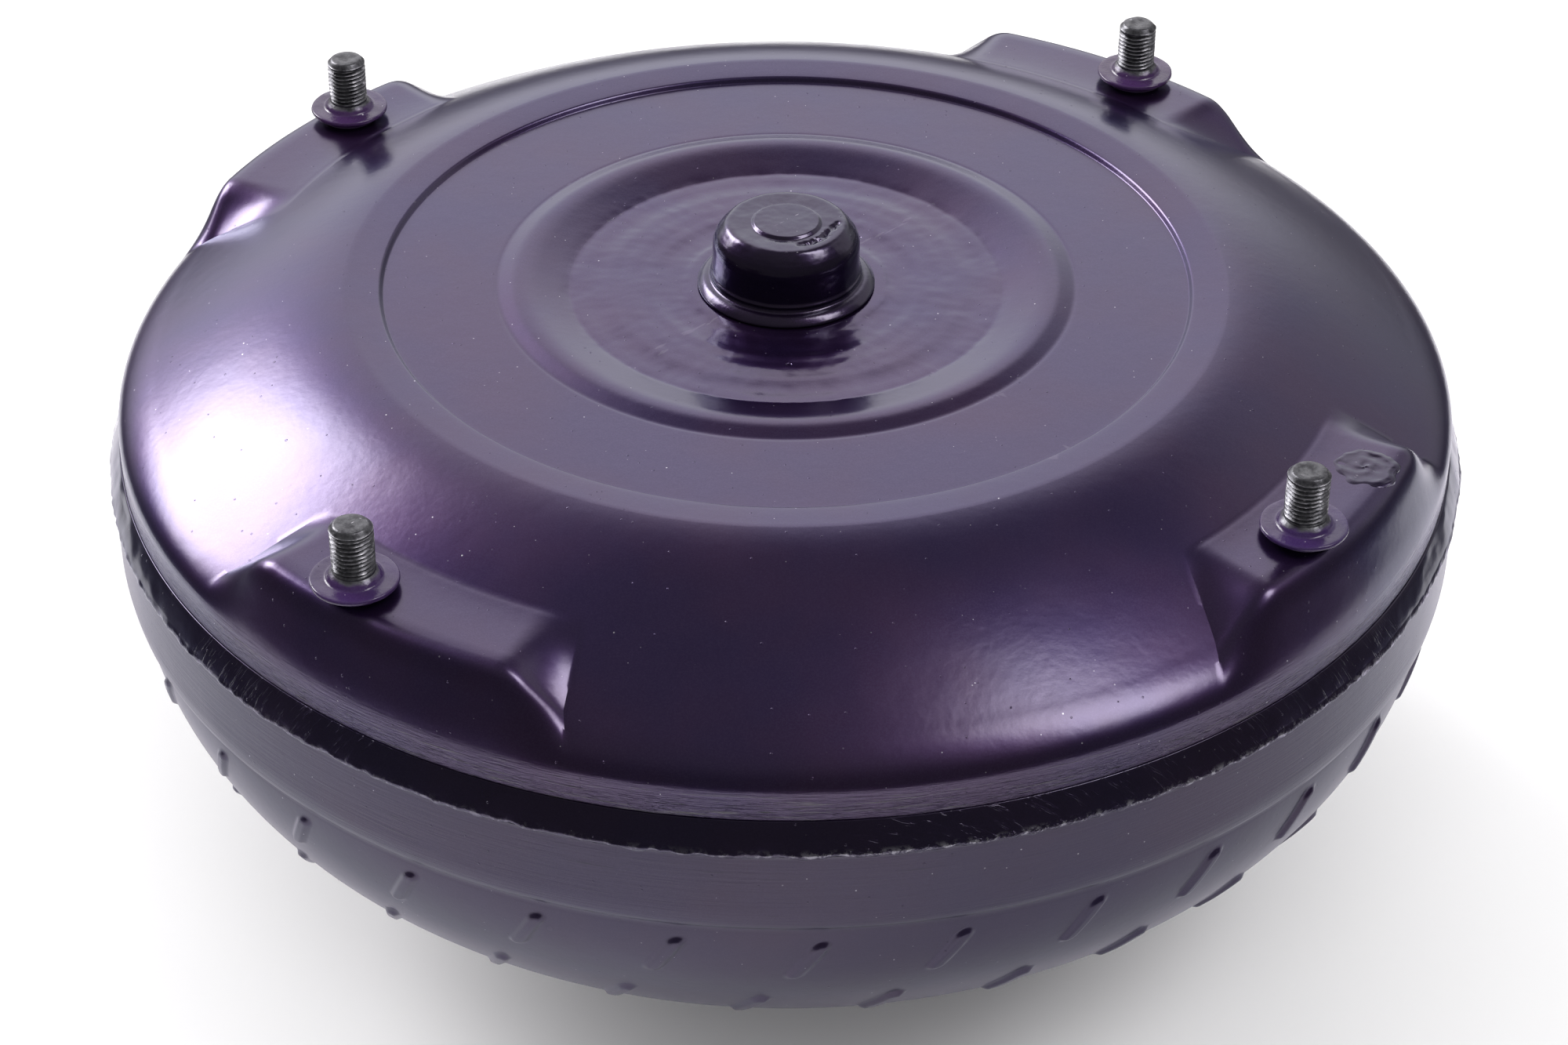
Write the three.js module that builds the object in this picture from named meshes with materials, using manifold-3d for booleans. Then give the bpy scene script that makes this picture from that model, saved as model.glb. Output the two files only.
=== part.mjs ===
// Torque converter with a lock-up clutch, welded housing, four mounting studs.
// Millimetres, +Z up towards the engine. The origin is the centre of the rear hub's end face.
import * as THREE from 'three';
import { mergeVertices } from 'three/addons/utils/BufferGeometryUtils.js';
import Module from 'manifold-3d';

const wasm = await Module();
wasm.setup();

// ---------------------------------------------------------------- driving dimensions
const GAP = 0.3; // space left between pieces that touch
const RUN = 0.5; // running clearance between turning pieces
const SLIVER = 0.02; // thinner facets than this, left by cuts, are merged into their neighbours
const CUT_OVER = 1; // how far a cutting shape runs past the faces it opens
const OPEN_END = 5; // the same for slots that are open at an edge

// mounting studs
const STUD_CIRCLE_RADIUS = 145.26;
const STUD_COUNT = 4;
const FIRST_STUD_ANGLE = -38.97;
const STUD_THREAD_RADIUS = 4.76;
const STUD_TIP_RADIUS = 3.75;
const STUD_CHAMFER = 1.1;
const STUD_THREAD_LENGTH = 13.7;
const STUD_COLLAR_RADIUS = 5.6;
const STUD_COLLAR_HEIGHT = 1.3;
const STUD_COLLAR_SLOPE = 0.6;
const STUD_FLANGE_RADIUS = 9.65;
const STUD_FLANGE_THICKNESS = 1.2;
const STUD_NECK_RADIUS = 6.4;
const STUD_NECK_HEIGHT = 1.5;
const STUD_SHANK_RADIUS = 4.4;

// front cover
const RIM_BEYOND_STUDS = 13.74; // skirt radius minus stud circle radius
const COVER_WALL = 5;
const COVER_DEPTH = 41.5; // clutch face above the top of the impeller band
const FLOOR_RADIUS = 51.2;
const FLOOR_DROP = 1.8;
const SPOT_FACE_RADIUS = 24.3;
const SPOT_FACE_HEIGHT = 1.2;
const SPOT_FACE_RUN = 0.6;
const RIDGE_RADIUS = 62.7;
const RIDGE_HEIGHT = 1;
const CLUTCH_FACE_INNER_RADIUS = 69.2;
const SHOULDER_IN_FROM_RIM = 63.7; // step line of the clutch face, measured in from the skirt
const SHOULDER_HEIGHT = 1;
const SHOULDER_RUN = 0.7;
const CREST_IN_FROM_RIM = 55;
const CREST_HEIGHT = 1.9;
const DOME_END_IN_FROM_RIM = 9;
const DOME_DROP = 17.7;
const DOME_BEND_IN_FROM_RIM = 39;
const DOME_BEND_HEIGHT = 0.2;
const CORNER_DROP = 26.7;
const CORNER_BEND = 5; // how far the corner's bend lies below the end of the dome
const SKIRT_LAP = 13; // length of skirt telescoped into the impeller band
const LAP_STEP = 2;
const LAP_TAPER = 3; // height over which the inside widens above the lap
const UNDERSIDE_MARGIN = 2; // the inner clutch face is wider than the outer one by this, each side
const UNDERSIDE_RAMP = 4;

// raised stud bosses, angles measured from each stud
const BOSS_TOP_DROP = 8.2; // boss top below the clutch face
const BOSS_TOP_ANGLES = [-8.5, 17.5];
const BOSS_FOOT_ANGLES = [-17, 26];
const BOSS_REACH_IN = 30; // how far the boss block reaches in from the stud circle
const BOSS_EDGE_OUT = 5.5; // flat top's outer edge beyond the stud circle
const BOSS_CORNER_RISE = 4; // start of the boss's rounded corner above the cover's corner
const BOSS_WALL_ANGLE = 2; // wall left each side of the hollow under a boss, in degrees
const BOSS_TRIM_OVER = 25; // how far the wedge that trims a boss runs past it
const DRAIN_PLUG_ANGLE = 12;
const DRAIN_PLUG_RADIUS = 5.6;
const DRAIN_PLUG_HEAD = 0.5;
const DRAIN_PLUG_BEVEL = 1;

// pilot
const PILOT_RADIUS = 17.46;
const PILOT_TOP_ABOVE_SEATS = 20.5;
const PILOT_EDGE = 2.6;
const PILOT_DISC_RADIUS = 7.8;
const PILOT_DISC_HEIGHT = 0.4;
const PILOT_COLLAR_RADIUS = 20;
const PILOT_COLLAR_HEIGHT = 1.6;
const PILOT_COLLAR_BEVEL = 0.6;
const PILOT_GROOVE_DEPTH = 0.7;
const PILOT_GROOVE_HEIGHT = 1.2;
const PILOT_SPIGOT_RADIUS = 13.7;

// closure weld
const WELD_HEIGHT = 7;
const WELD_BULGE = 3.3;
const WELD_TOE = [0.4, 0.8]; // rounding of the bead's lower outer edge: inwards, upwards
const WELD_WAIST = [0.45, 0.72]; // where the bead narrows, as shares of its bulge and height
const WELD_TOP_WIDTH = 0.3;

// impeller shell and hub
const HUB_RADIUS = 23.81;
const HUB_BORE_RADIUS = 19.8;
const HUB_STICK_OUT = 39.5; // hub end to the lowest point of the bowl
const HUB_CHAMFER = 1.2;
const HUB_FILLET = 4;
const HUB_FLANGE_RADIUS = 46;
const HUB_FLANGE_THICKNESS = 6;
const HUB_SLOT_WIDTH = 12;
const HUB_SLOT_DEPTH = 9;
const BOWL_DEPTH = 59.5;
const BOWL_LOW_IN_FROM_CORE = 2; // lowest circle of the bowl inside the core's middle circle
const HUB_FACE_BELOW_MOUTH = 31;
const HUB_FACE_PROUD = 2; // hub face above the bowl's inner end
const SHELL_WALL = 4;
const BAND_BEYOND_SKIRT = 2.5;
const BAND_HEIGHT = 19.7;
const BAND_STEP = 1.9;
const BAND_STRAIGHT = 7; // height of the band's cylindrical lip
const BAND_TAPER = 0.9;
const BAND_FOOT = [0.7, 0.8]; // band's lower edge below the bowl's mouth, and the height of its step
const BOWL_START_ANGLE = -4;

// blades and core rings
const IMPELLER_BLADES = 32;
const TURBINE_BLADES = 27;
const BLADE_THICKNESS = 1.4;
const BLADE_TO_SHELL = 1.9; // covers the facets of the shell
const TURBINE_STEPS = 4;
const CORE_WALL = 1.6;
const CORE_TO_STATOR = 1.9;
const OUTER_CHANNEL = 32; // oil passage between the core rings and the shells
const IMPELLER_CHANNEL = 33.5;
const TURBINE_CHANNEL = 22.2;
const IMPELLER_SWEEP = -16;
const TURBINE_BOW = 13;
const IMPELLER_RIM_ANGLE = -3; // blades and core rings start and end at these angles round the torus
const IMPELLER_NECK_ANGLE = -155;
const IMPELLER_CORE_JOIN = [-5, -125];
const TURBINE_BLADE_ENDS = [2, 163];
const TURBINE_CORE_ENDS = [4, 152];
const TURBINE_CORE_JOIN = [8, 148];

// turbine
const TURBINE_WALL = 2;
const TURBINE_RIM_CLEARANCE = 3.2;
const TURBINE_INNER_BEYOND_HUB = 4; // where the turbine shell starts outside its hub's flange
const TURBINE_CROWN_ABOVE_DAMPER = 2.4;
const TURBINE_HUB_RADIUS = 21;
const TURBINE_HUB_FOOT_RADIUS = 34.5;
const TURBINE_HUB_FLANGE_RADIUS = 51;
const TURBINE_HUB_FLANGE_THICKNESS = 4.2;
const TURBINE_HUB_FILLET = 6;
const TURBINE_RIVETS = 6;
const TURBINE_RIVET_CIRCLE = 43;
const RIVET_RADIUS = 2.6;
const RIVET_HEAD_RADIUS = 4.2;
const RIVET_HEAD_HEIGHT = 1.7;
const RIVET_HEAD_BEVEL = 1;
const SHAFT_SPLINE_TEETH = 18;
const SHAFT_SPLINE_ROOT_RADIUS = 13.6;
const SHAFT_SPLINE_TIP_RADIUS = 12.4;
const DRIVE_LUGS = 6;
const DRIVE_LUG_RADIUS = 25;
const DRIVE_LUG_WIDTH = 9;
const DRIVE_LUG_HEIGHT = 7;
const DRIVE_LUG_ROOT = 2;

// lock-up clutch and torsional damper
const CLUTCH_TRAVEL = 1.2;
const LINING_THICKNESS = 1.6;
const LINING_INNER_RADIUS = 73;
const LINING_OUTER_RADIUS = 92;
const PISTON_WALL = 3;
const PISTON_LIP_RADIUS = 97;
const PISTON_LIP_DEPTH = 7;
const PISTON_COLLAR_RADIUS = 26.5;
const PISTON_COLLAR_DEPTH = 3.8;
const PISTON_BEVEL = 1;
const SEAL_HEIGHT = 2.2;
const SEAL_WIDTH = 1.9;
const SEAL_GROOVE_RISE = 1; // top of the seal's groove above the piston's rear face
const DAMPER_SPRINGS = 6;
const DAMPER_SPRING_CIRCLE = 58;
const DAMPER_SPRING_RADIUS = 6.8;
const DAMPER_SPRING_WIRE = 1.3; // radius of the wire
const DAMPER_SPRING_LENGTH = 30;
const DAMPER_SPRING_TURNS = 4;
const SPRING_STEPS_PER_TURN = 5;
const SPRING_WIRE_SIDES = 4;
const WINDOW_CUT = 20; // half height of the shape that cuts the spring windows
const DAMPER_TWIST = 7;
const DAMPER_PLATE = 1.6;
const DAMPER_PLATE_OFFSET = 3.3;
const DAMPER_PLATE_RADIUS = 78;
const DAMPER_PLATE_INNER_RADIUS = 34;
const DRIVEN_PLATE = 2.4;
const DRIVEN_PLATE_RADIUS = 76;
const STOP_PIN_CIRCLE = 70;
const STOP_PIN_RADIUS = 3;
const STOP_PIN_HEAD_RADIUS = 4.6;
const STOP_PIN_HEAD_HEIGHT = 1.2;
const STOP_PIN_HEAD_BEVEL = 0.8;

// stator and one-way clutch
const RACE_RADIUS = 30;
const RACE_LENGTH = 33.6;
const RACE_SPLINE_TEETH = 20;
const RACE_SPLINE_ROOT_RADIUS = 18.2;
const RACE_SPLINE_TIP_RADIUS = 16.8;
const ROLLER_COUNT = 6;
const ROLLER_RADIUS = 3.75;
const ROLLER_LENGTH = 18;
const ROLLER_SLACK = 0.1;
const ROLLER_SPRING_FOLD = 1.6;
const ROLLER_SPRING_FOLDS = 4;
const ROLLER_SPRING_ANGLES = [7.9, 15.4];
const ROLLER_SPRING_CLEARANCE = 1;
const ROLLER_SPRING_SHORTER = 3; // at each end, than the roller
const CAM_WALL = 6.5;
const CAM_RAMP_ANGLE = 16;
const CAM_CLEARANCE = 1.2;
const POCKET_START_ANGLE = -8;
const POCKET_SHALLOW = -0.2; // pocket floor against the cam's inner circle, at its two ends
const POCKET_DEEP = 1.2;
const POCKET_STEPS = 5;
const STATOR_HUB_WALL = 9.5;
const STATOR_HUB_LENGTH = 27;
const STATOR_BLADES = 15;
const STATOR_BLADE_LENGTH = 17;
const STATOR_BLADE_HEIGHT = 19;
const STATOR_BLADE_THICKNESS = 4.6;
const STATOR_BLADE_LEAN = 9;
const STATOR_BLADE_ROOT = 1.5; // how far the blades run into the hub
const STATOR_SHROUD_WALL = 2.2;
const STATOR_SHROUD_LENGTH = 17;
const END_CAP_THICKNESS = 2.2;
const SNAP_RING_THICKNESS = 1.4;
const SNAP_RING_WIDTH = 3.5;
const SNAP_RING_OPENING = 30;

// thrust bearings
const REAR_BEARING_HEIGHT = 4;
const FRONT_BEARING_HEIGHT = 3.2;
const BEARING_WIDTH = 8;
const BEARING_BEYOND_BORE = 1.2;
const CAGE_SHARE = 0.3; // half thickness of the cage over the needle's diameter
const NEEDLE_COUNT = 9;
const NEEDLE_SHORTER = 2.4; // than the cage is wide
const NEEDLE_SIDES = 6;
const WASHER_THICKNESS = 1.9;
const WASHER_INNER_MARGIN = 1;
const WASHER_OUTER_MARGIN = 0.6;

// facets round the axis
const HOUSING_SEGMENTS = 30;
const CORE_SEGMENTS = 16;
const WHEEL_SEGMENTS = 24;
const HUB_SEGMENTS = 20;
const SMALL_SEGMENTS = 10;
const RIVET_SEGMENTS = 8;

// ---------------------------------------------------------------- levels and radii that follow
const SKIRT_RADIUS = STUD_CIRCLE_RADIUS + RIM_BEYOND_STUDS;
const BAND_RADIUS = SKIRT_RADIUS + BAND_BEYOND_SKIRT;
const BOWL_BOTTOM_Z = HUB_STICK_OUT;
const BOWL_MOUTH_Z = BOWL_BOTTOM_Z + BOWL_DEPTH;
const BAND_TOP_Z = BOWL_MOUTH_Z + BAND_HEIGHT;
const FACE_Z = BAND_TOP_Z + COVER_DEPTH;
const BOSS_TOP_Z = FACE_Z - BOSS_TOP_DROP;
const SEAT_Z = BOSS_TOP_Z + GAP + STUD_NECK_HEIGHT + STUD_FLANGE_THICKNESS;
const FLOOR_Z = FACE_Z - FLOOR_DROP;
const FLOOR_UNDERSIDE_Z = FLOOR_Z - COVER_WALL;
const CLUTCH_FACE_Z = FACE_Z - COVER_WALL;
const LAP_RADIUS = SKIRT_RADIUS - LAP_STEP;
const SKIRT_INNER_RADIUS = SKIRT_RADIUS - COVER_WALL;
const LAP_INNER_RADIUS = SKIRT_INNER_RADIUS - 0.5;
const HUB_FACE_Z = BOWL_MOUTH_Z - HUB_FACE_BELOW_MOUTH;
const BOWL_RECESS = HUB_FACE_Z - HUB_FACE_PROUD - SHELL_WALL - BOWL_BOTTOM_Z;
const SPLIT_Z = BOWL_MOUTH_Z - 1;
const FLOW_RADIUS = SKIRT_RADIUS - SHELL_WALL;

const RACE_BOTTOM_Z = HUB_FACE_Z + REAR_BEARING_HEIGHT + 2 * GAP;
const RACE_TOP_Z = RACE_BOTTOM_Z + RACE_LENGTH;
const TURBINE_HUB_BOTTOM_Z = RACE_TOP_Z + FRONT_BEARING_HEIGHT + 2 * GAP;
const TURBINE_HUB_TOP_Z = FLOOR_UNDERSIDE_Z - WASHER_THICKNESS - 2 * GAP;

const LINING_TOP_Z = CLUTCH_FACE_Z - CLUTCH_TRAVEL;
const PISTON_TOP_Z = LINING_TOP_Z - LINING_THICKNESS - GAP;
const PISTON_BOTTOM_Z = PISTON_TOP_Z - PISTON_WALL;
const DAMPER_Z = PISTON_BOTTOM_Z - DAMPER_SPRING_RADIUS - DAMPER_SPRING_WIRE - GAP;
const DAMPER_REAR_Z = DAMPER_Z - DAMPER_PLATE_OFFSET - DAMPER_PLATE;

const TURBINE_RIM_RADIUS = LAP_INNER_RADIUS - TURBINE_RIM_CLEARANCE;
const TURBINE_INNER_RADIUS = TURBINE_HUB_FLANGE_RADIUS + TURBINE_INNER_BEYOND_HUB;
const TURBINE_CROWN_Z = DAMPER_REAR_Z + TURBINE_CROWN_ABOVE_DAMPER;
const SHELL_FLANGE_TOP_Z = TURBINE_HUB_BOTTOM_Z + GAP;
const HUB_FLANGE_BOTTOM_Z = SHELL_FLANGE_TOP_Z + GAP;

const CAM_INNER_RADIUS = RACE_RADIUS + 2 * ROLLER_RADIUS + ROLLER_SLACK;
const CAM_OUTER_RADIUS = CAM_INNER_RADIUS + CAM_WALL;
const STATOR_BORE_RADIUS = CAM_OUTER_RADIUS + GAP;
const STATOR_HUB_RADIUS = STATOR_BORE_RADIUS + STATOR_HUB_WALL;
const STATOR_TIP_RADIUS = STATOR_HUB_RADIUS + STATOR_BLADE_LENGTH;
const STATOR_Z = 0.5 * (RACE_BOTTOM_Z + RACE_TOP_Z);

const CORE_OUTER_RADIUS = FLOW_RADIUS - OUTER_CHANNEL;
const CORE_INNER_RADIUS = STATOR_TIP_RADIUS + STATOR_SHROUD_WALL + CORE_TO_STATOR;
const TORUS_RADIUS = 0.5 * (CORE_OUTER_RADIUS + CORE_INNER_RADIUS);
const BOWL_LOW_RADIUS = TORUS_RADIUS - BOWL_LOW_IN_FROM_CORE;
const CORE_HALF_WIDTH = 0.5 * (CORE_OUTER_RADIUS - CORE_INNER_RADIUS);
const CORE_HALF_HEIGHT_IMPELLER = SPLIT_Z - BOWL_BOTTOM_Z - SHELL_WALL - IMPELLER_CHANNEL;
const CORE_HALF_HEIGHT_TURBINE = TURBINE_CROWN_Z - TURBINE_WALL - SPLIT_Z - TURBINE_CHANNEL;

// ---------------------------------------------------------------- helpers
const group = new THREE.Group();

const FINISH = {
  paint: { color: 0x2a2144, roughness: 0.3, metalness: 0.35 },
  weld: { color: 0x221a3c, roughness: 0.35, metalness: 0.4 },
  thread: { color: 0x4a4a50, roughness: 0.4, metalness: 0.9 },
  steel: { color: 0x8d9095, roughness: 0.42, metalness: 0.9 },
  forged: { color: 0x6f7276, roughness: 0.55, metalness: 0.85 },
  sheet: { color: 0x84878c, roughness: 0.5, metalness: 0.85 },
  spring: { color: 0x3b3d42, roughness: 0.4, metalness: 0.85 },
  alloy: { color: 0xb9bcc0, roughness: 0.5, metalness: 0.8 },
  lining: { color: 0x5b4a36, roughness: 0.95, metalness: 0 },
  bronze: { color: 0xa8793c, roughness: 0.45, metalness: 0.85 },
  seal: { color: 0x1c1c1e, roughness: 0.8, metalness: 0 },
};

function degrees(angle) {
  return THREE.MathUtils.degToRad(angle);
}

function polar(radius, angle, z) {
  return [radius * Math.cos(degrees(angle)), radius * Math.sin(degrees(angle)), z];
}

function toSolid(geometry) {
  const plain = geometry.clone();
  plain.deleteAttribute('normal');
  plain.deleteAttribute('uv');
  const merged = mergeVertices(plain, 1e-4);
  const vertProperties = new Float32Array(merged.attributes.position.array);
  const triVerts = new Uint32Array(merged.index.array);
  return new wasm.Manifold(new wasm.Mesh({ numProp: 3, vertProperties, triVerts }));
}

function toGeometry(solid) {
  const mesh = solid.simplify(SLIVER).getMesh();
  const geometry = new THREE.BufferGeometry();
  const count = mesh.vertProperties.length / mesh.numProp;
  const position = new Float32Array(count * 3);
  for (let i = 0; i < count; i += 1) {
    for (let k = 0; k < 3; k += 1) {
      position[3 * i + k] = mesh.vertProperties[mesh.numProp * i + k];
    }
  }
  geometry.setAttribute('position', new THREE.BufferAttribute(position, 3));
  geometry.setIndex(new THREE.BufferAttribute(new Uint32Array(mesh.triVerts), 1));
  geometry.computeVertexNormals();
  return geometry;
}

function addPiece(name, solid, finish) {
  const mesh = new THREE.Mesh(toGeometry(solid), new THREE.MeshStandardMaterial(FINISH[finish]));
  mesh.name = name;
  group.add(mesh);
}

// A closed ring or solid of revolution about Z from an outline of [radius, z] points.
function revolve(outline, segments) {
  let area = 0;
  outline.forEach(([r, z], i) => {
    const [nextR, nextZ] = outline[(i + 1) % outline.length];
    area += r * nextZ - nextR * z;
  });
  const ordered = area > 0 ? outline : [...outline].reverse();
  const points = [...ordered, ordered[0]].map(([r, z]) => new THREE.Vector2(r, z));
  const geometry = new THREE.LatheGeometry(points, segments);
  geometry.rotateX(Math.PI / 2);
  return toSolid(geometry);
}

function ring(inner, outer, bottom, top, segments) {
  return revolve([[inner, bottom], [outer, bottom], [outer, top], [inner, top]], segments);
}

// A straight prism from an XY outline, between two levels.
function prism(outline, bottom, top) {
  const shape = new THREE.Shape(outline.map(([x, y]) => new THREE.Vector2(x, y)));
  const geometry = new THREE.ExtrudeGeometry(shape, { depth: top - bottom, bevelEnabled: false });
  geometry.translate(0, 0, bottom);
  return toSolid(geometry);
}

function rod(radius, bottom, top, x, y, segments) {
  const geometry = new THREE.CylinderGeometry(radius, radius, top - bottom, segments);
  geometry.rotateX(Math.PI / 2);
  geometry.translate(x, y, 0.5 * (bottom + top));
  return toSolid(geometry);
}

function turned(solid, angle) {
  return solid.rotate([0, 0, angle]);
}

function repeated(solid, count, start = 0) {
  return Array.from({ length: count }, (_, i) => turned(solid, start + (360 * i) / count));
}

function joined(solids) {
  return solids.reduce((whole, solid) => whole.add(solid));
}

function cutBy(solid, tools) {
  return tools.reduce((whole, tool) => whole.subtract(tool), solid);
}

// A closed skin through loops of points, each loop holding the same number of points.
// The diagonals of both halves of a loop run the same way, so a thin twisted plate keeps its thickness.
function skin(loops) {
  const size = loops[0].length;
  const position = loops.flat(2);
  const index = [];
  for (let s = 0; s < loops.length - 1; s += 1) {
    for (let i = 0; i < size; i += 1) {
      const a = s * size + i;
      const b = s * size + ((i + 1) % size);
      if (i < size / 2) {
        index.push(a, b, b + size, a, b + size, a + size);
      } else {
        index.push(a, b, a + size, b, b + size, a + size);
      }
    }
  }
  const last = (loops.length - 1) * size;
  for (let i = 1; i < size - 1; i += 1) {
    index.push(0, i + 1, i);
    index.push(last, last + i, last + i + 1);
  }
  const geometry = new THREE.BufferGeometry();
  geometry.setAttribute('position', new THREE.BufferAttribute(new Float32Array(position), 3));
  geometry.setIndex(index);
  const solid = toSolid(geometry);
  return solid.volume() > 0 ? solid : flipped(geometry);
}

function flipped(geometry) {
  const index = Array.from(geometry.index.array);
  for (let i = 0; i < index.length; i += 3) {
    [index[i], index[i + 1]] = [index[i + 1], index[i]];
  }
  geometry.setIndex(index);
  return toSolid(geometry);
}

// Points of an ellipse arc about (centreR, centreZ), from one angle to another in degrees.
function ellipseArc(centreR, centreZ, halfR, halfZ, from, to, steps) {
  return Array.from({ length: steps + 1 }, (_, i) => {
    const angle = degrees(from + ((to - from) * i) / steps);
    return [centreR + halfR * Math.cos(angle), centreZ + halfZ * Math.sin(angle)];
  });
}

function bezierArc(start, control, end, steps) {
  const toVector = ([r, z]) => new THREE.Vector2(r, z);
  const curve = new THREE.QuadraticBezierCurve(toVector(start), toVector(control), toVector(end));
  return curve.getPoints(steps).map((p) => [p.x, p.y]);
}

// Outline of a splined bore or shaft: teeth with straight flanks round a circle.
function splineOutline(teeth, valleyRadius, toothRadius) {
  const points = [];
  const pitch = 360 / teeth;
  for (let i = 0; i < teeth; i += 1) {
    const middle = i * pitch;
    points.push(polar(valleyRadius, middle - 0.3 * pitch, 0));
    points.push(polar(toothRadius, middle - 0.2 * pitch, 0));
    points.push(polar(toothRadius, middle + 0.2 * pitch, 0));
    points.push(polar(valleyRadius, middle + 0.3 * pitch, 0));
  }
  return points;
}

// ---------------------------------------------------------------- front cover
function bossWedge(inset) {
  const inner = STUD_CIRCLE_RADIUS - BOSS_REACH_IN - BOSS_TRIM_OVER;
  const outer = SKIRT_RADIUS + BOSS_TRIM_OVER;
  const foot = FACE_Z - CORNER_DROP;
  const top = BOSS_TOP_Z + GAP;
  const level = (angles, z) => [
    polar(inner, angles[0] + inset, z),
    polar(outer, angles[0] + inset, z),
    polar(outer, angles[1] - inset, z),
    polar(inner, angles[1] - inset, z),
  ];
  return skin([level(BOSS_FOOT_ANGLES, foot), level(BOSS_TOP_ANGLES, top)]);
}

function bossBlock(wall) {
  const inner = STUD_CIRCLE_RADIUS - BOSS_REACH_IN;
  const edge = STUD_CIRCLE_RADIUS + BOSS_EDGE_OUT - wall;
  const side = SKIRT_RADIUS - wall;
  const top = BOSS_TOP_Z - wall;
  const foot = FACE_Z - CORNER_DROP - wall;
  const corner = bezierArc([edge, top], [side, top], [side, foot + BOSS_CORNER_RISE], 2);
  return revolve([[inner, foot], [inner, top], ...corner, [side, foot]], HOUSING_SEGMENTS);
}

function coverOutline(wall, domeSteps) {
  const rim = SKIRT_RADIUS - wall;
  const z = FACE_Z - wall;
  const crest = SKIRT_RADIUS - CREST_IN_FROM_RIM;
  const bend = SKIRT_RADIUS - DOME_BEND_IN_FROM_RIM;
  const domeEnd = [SKIRT_RADIUS - DOME_END_IN_FROM_RIM - 0.6 * wall, z - DOME_DROP + 0.2 * wall];
  const corner = [rim, z - DOME_DROP - CORNER_BEND];
  const dome = bezierArc([crest, z + CREST_HEIGHT], [bend, z + DOME_BEND_HEIGHT], domeEnd, domeSteps);
  return [...dome, ...bezierArc(domeEnd, corner, [rim, z - CORNER_DROP + 0.4 * wall], 2).slice(1)];
}

function frontCover() {
  const shoulder = SKIRT_RADIUS - SHOULDER_IN_FROM_RIM;
  const spigotHole = PILOT_SPIGOT_RADIUS + GAP;
  const rimZ = BAND_TOP_Z - SKIRT_LAP;
  const outside = [
    [0, FLOOR_Z + SPOT_FACE_HEIGHT],
    [SPOT_FACE_RADIUS, FLOOR_Z + SPOT_FACE_HEIGHT],
    [SPOT_FACE_RADIUS + SPOT_FACE_RUN, FLOOR_Z],
    [FLOOR_RADIUS, FLOOR_Z],
    [RIDGE_RADIUS, FACE_Z + RIDGE_HEIGHT],
    [CLUTCH_FACE_INNER_RADIUS, FACE_Z],
    [shoulder, FACE_Z],
    [shoulder + SHOULDER_RUN, FACE_Z + SHOULDER_HEIGHT],
    ...coverOutline(0, 4),
    [SKIRT_RADIUS, BAND_TOP_Z + 2 * GAP],
    [LAP_RADIUS, BAND_TOP_Z + 2 * GAP],
    [LAP_RADIUS, rimZ],
    [0, rimZ],
  ];
  const inside = [
    [0, rimZ - CUT_OVER],
    [LAP_INNER_RADIUS, rimZ - CUT_OVER],
    [LAP_INNER_RADIUS, BAND_TOP_Z],
    [SKIRT_INNER_RADIUS, BAND_TOP_Z + LAP_TAPER],
    ...coverOutline(COVER_WALL, 3).reverse(),
    [shoulder + UNDERSIDE_MARGIN, CLUTCH_FACE_Z],
    [CLUTCH_FACE_INNER_RADIUS - UNDERSIDE_MARGIN, CLUTCH_FACE_Z],
    [CLUTCH_FACE_INNER_RADIUS - UNDERSIDE_MARGIN - UNDERSIDE_RAMP, FLOOR_UNDERSIDE_Z],
    [0, FLOOR_UNDERSIDE_Z],
  ];
  const cavity = revolve(inside, HOUSING_SEGMENTS);
  const spigotTop = FLOOR_Z + SPOT_FACE_HEIGHT + CUT_OVER;
  const spigot = rod(spigotHole, rimZ, spigotTop, 0, 0, HUB_SEGMENTS);
  const pad = bossBlock(0).intersect(bossWedge(0));
  const hollow = bossBlock(COVER_WALL).intersect(bossWedge(BOSS_WALL_ANGLE));
  const pads = repeated(pad, STUD_COUNT, FIRST_STUD_ANGLE);
  const hollows = repeated(hollow, STUD_COUNT, FIRST_STUD_ANGLE);
  const bottom = BOSS_TOP_Z - COVER_WALL - CUT_OVER;
  const top = BOSS_TOP_Z + CUT_OVER;
  const [x, y] = polar(STUD_CIRCLE_RADIUS, 0, 0);
  const studHole = rod(STUD_SHANK_RADIUS + GAP, bottom, top, x, y, SMALL_SEGMENTS);
  const plugHole = turned(
    rod(DRAIN_PLUG_RADIUS + GAP, bottom, top, x, y, SMALL_SEGMENTS),
    FIRST_STUD_ANGLE + DRAIN_PLUG_ANGLE,
  );
  const studHoles = repeated(studHole, STUD_COUNT, FIRST_STUD_ANGLE);
  const padded = joined([revolve(outside, HOUSING_SEGMENTS), ...pads]);
  return cutBy(padded, [cavity, spigot, ...hollows, ...studHoles, plugHole]);
}

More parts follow.
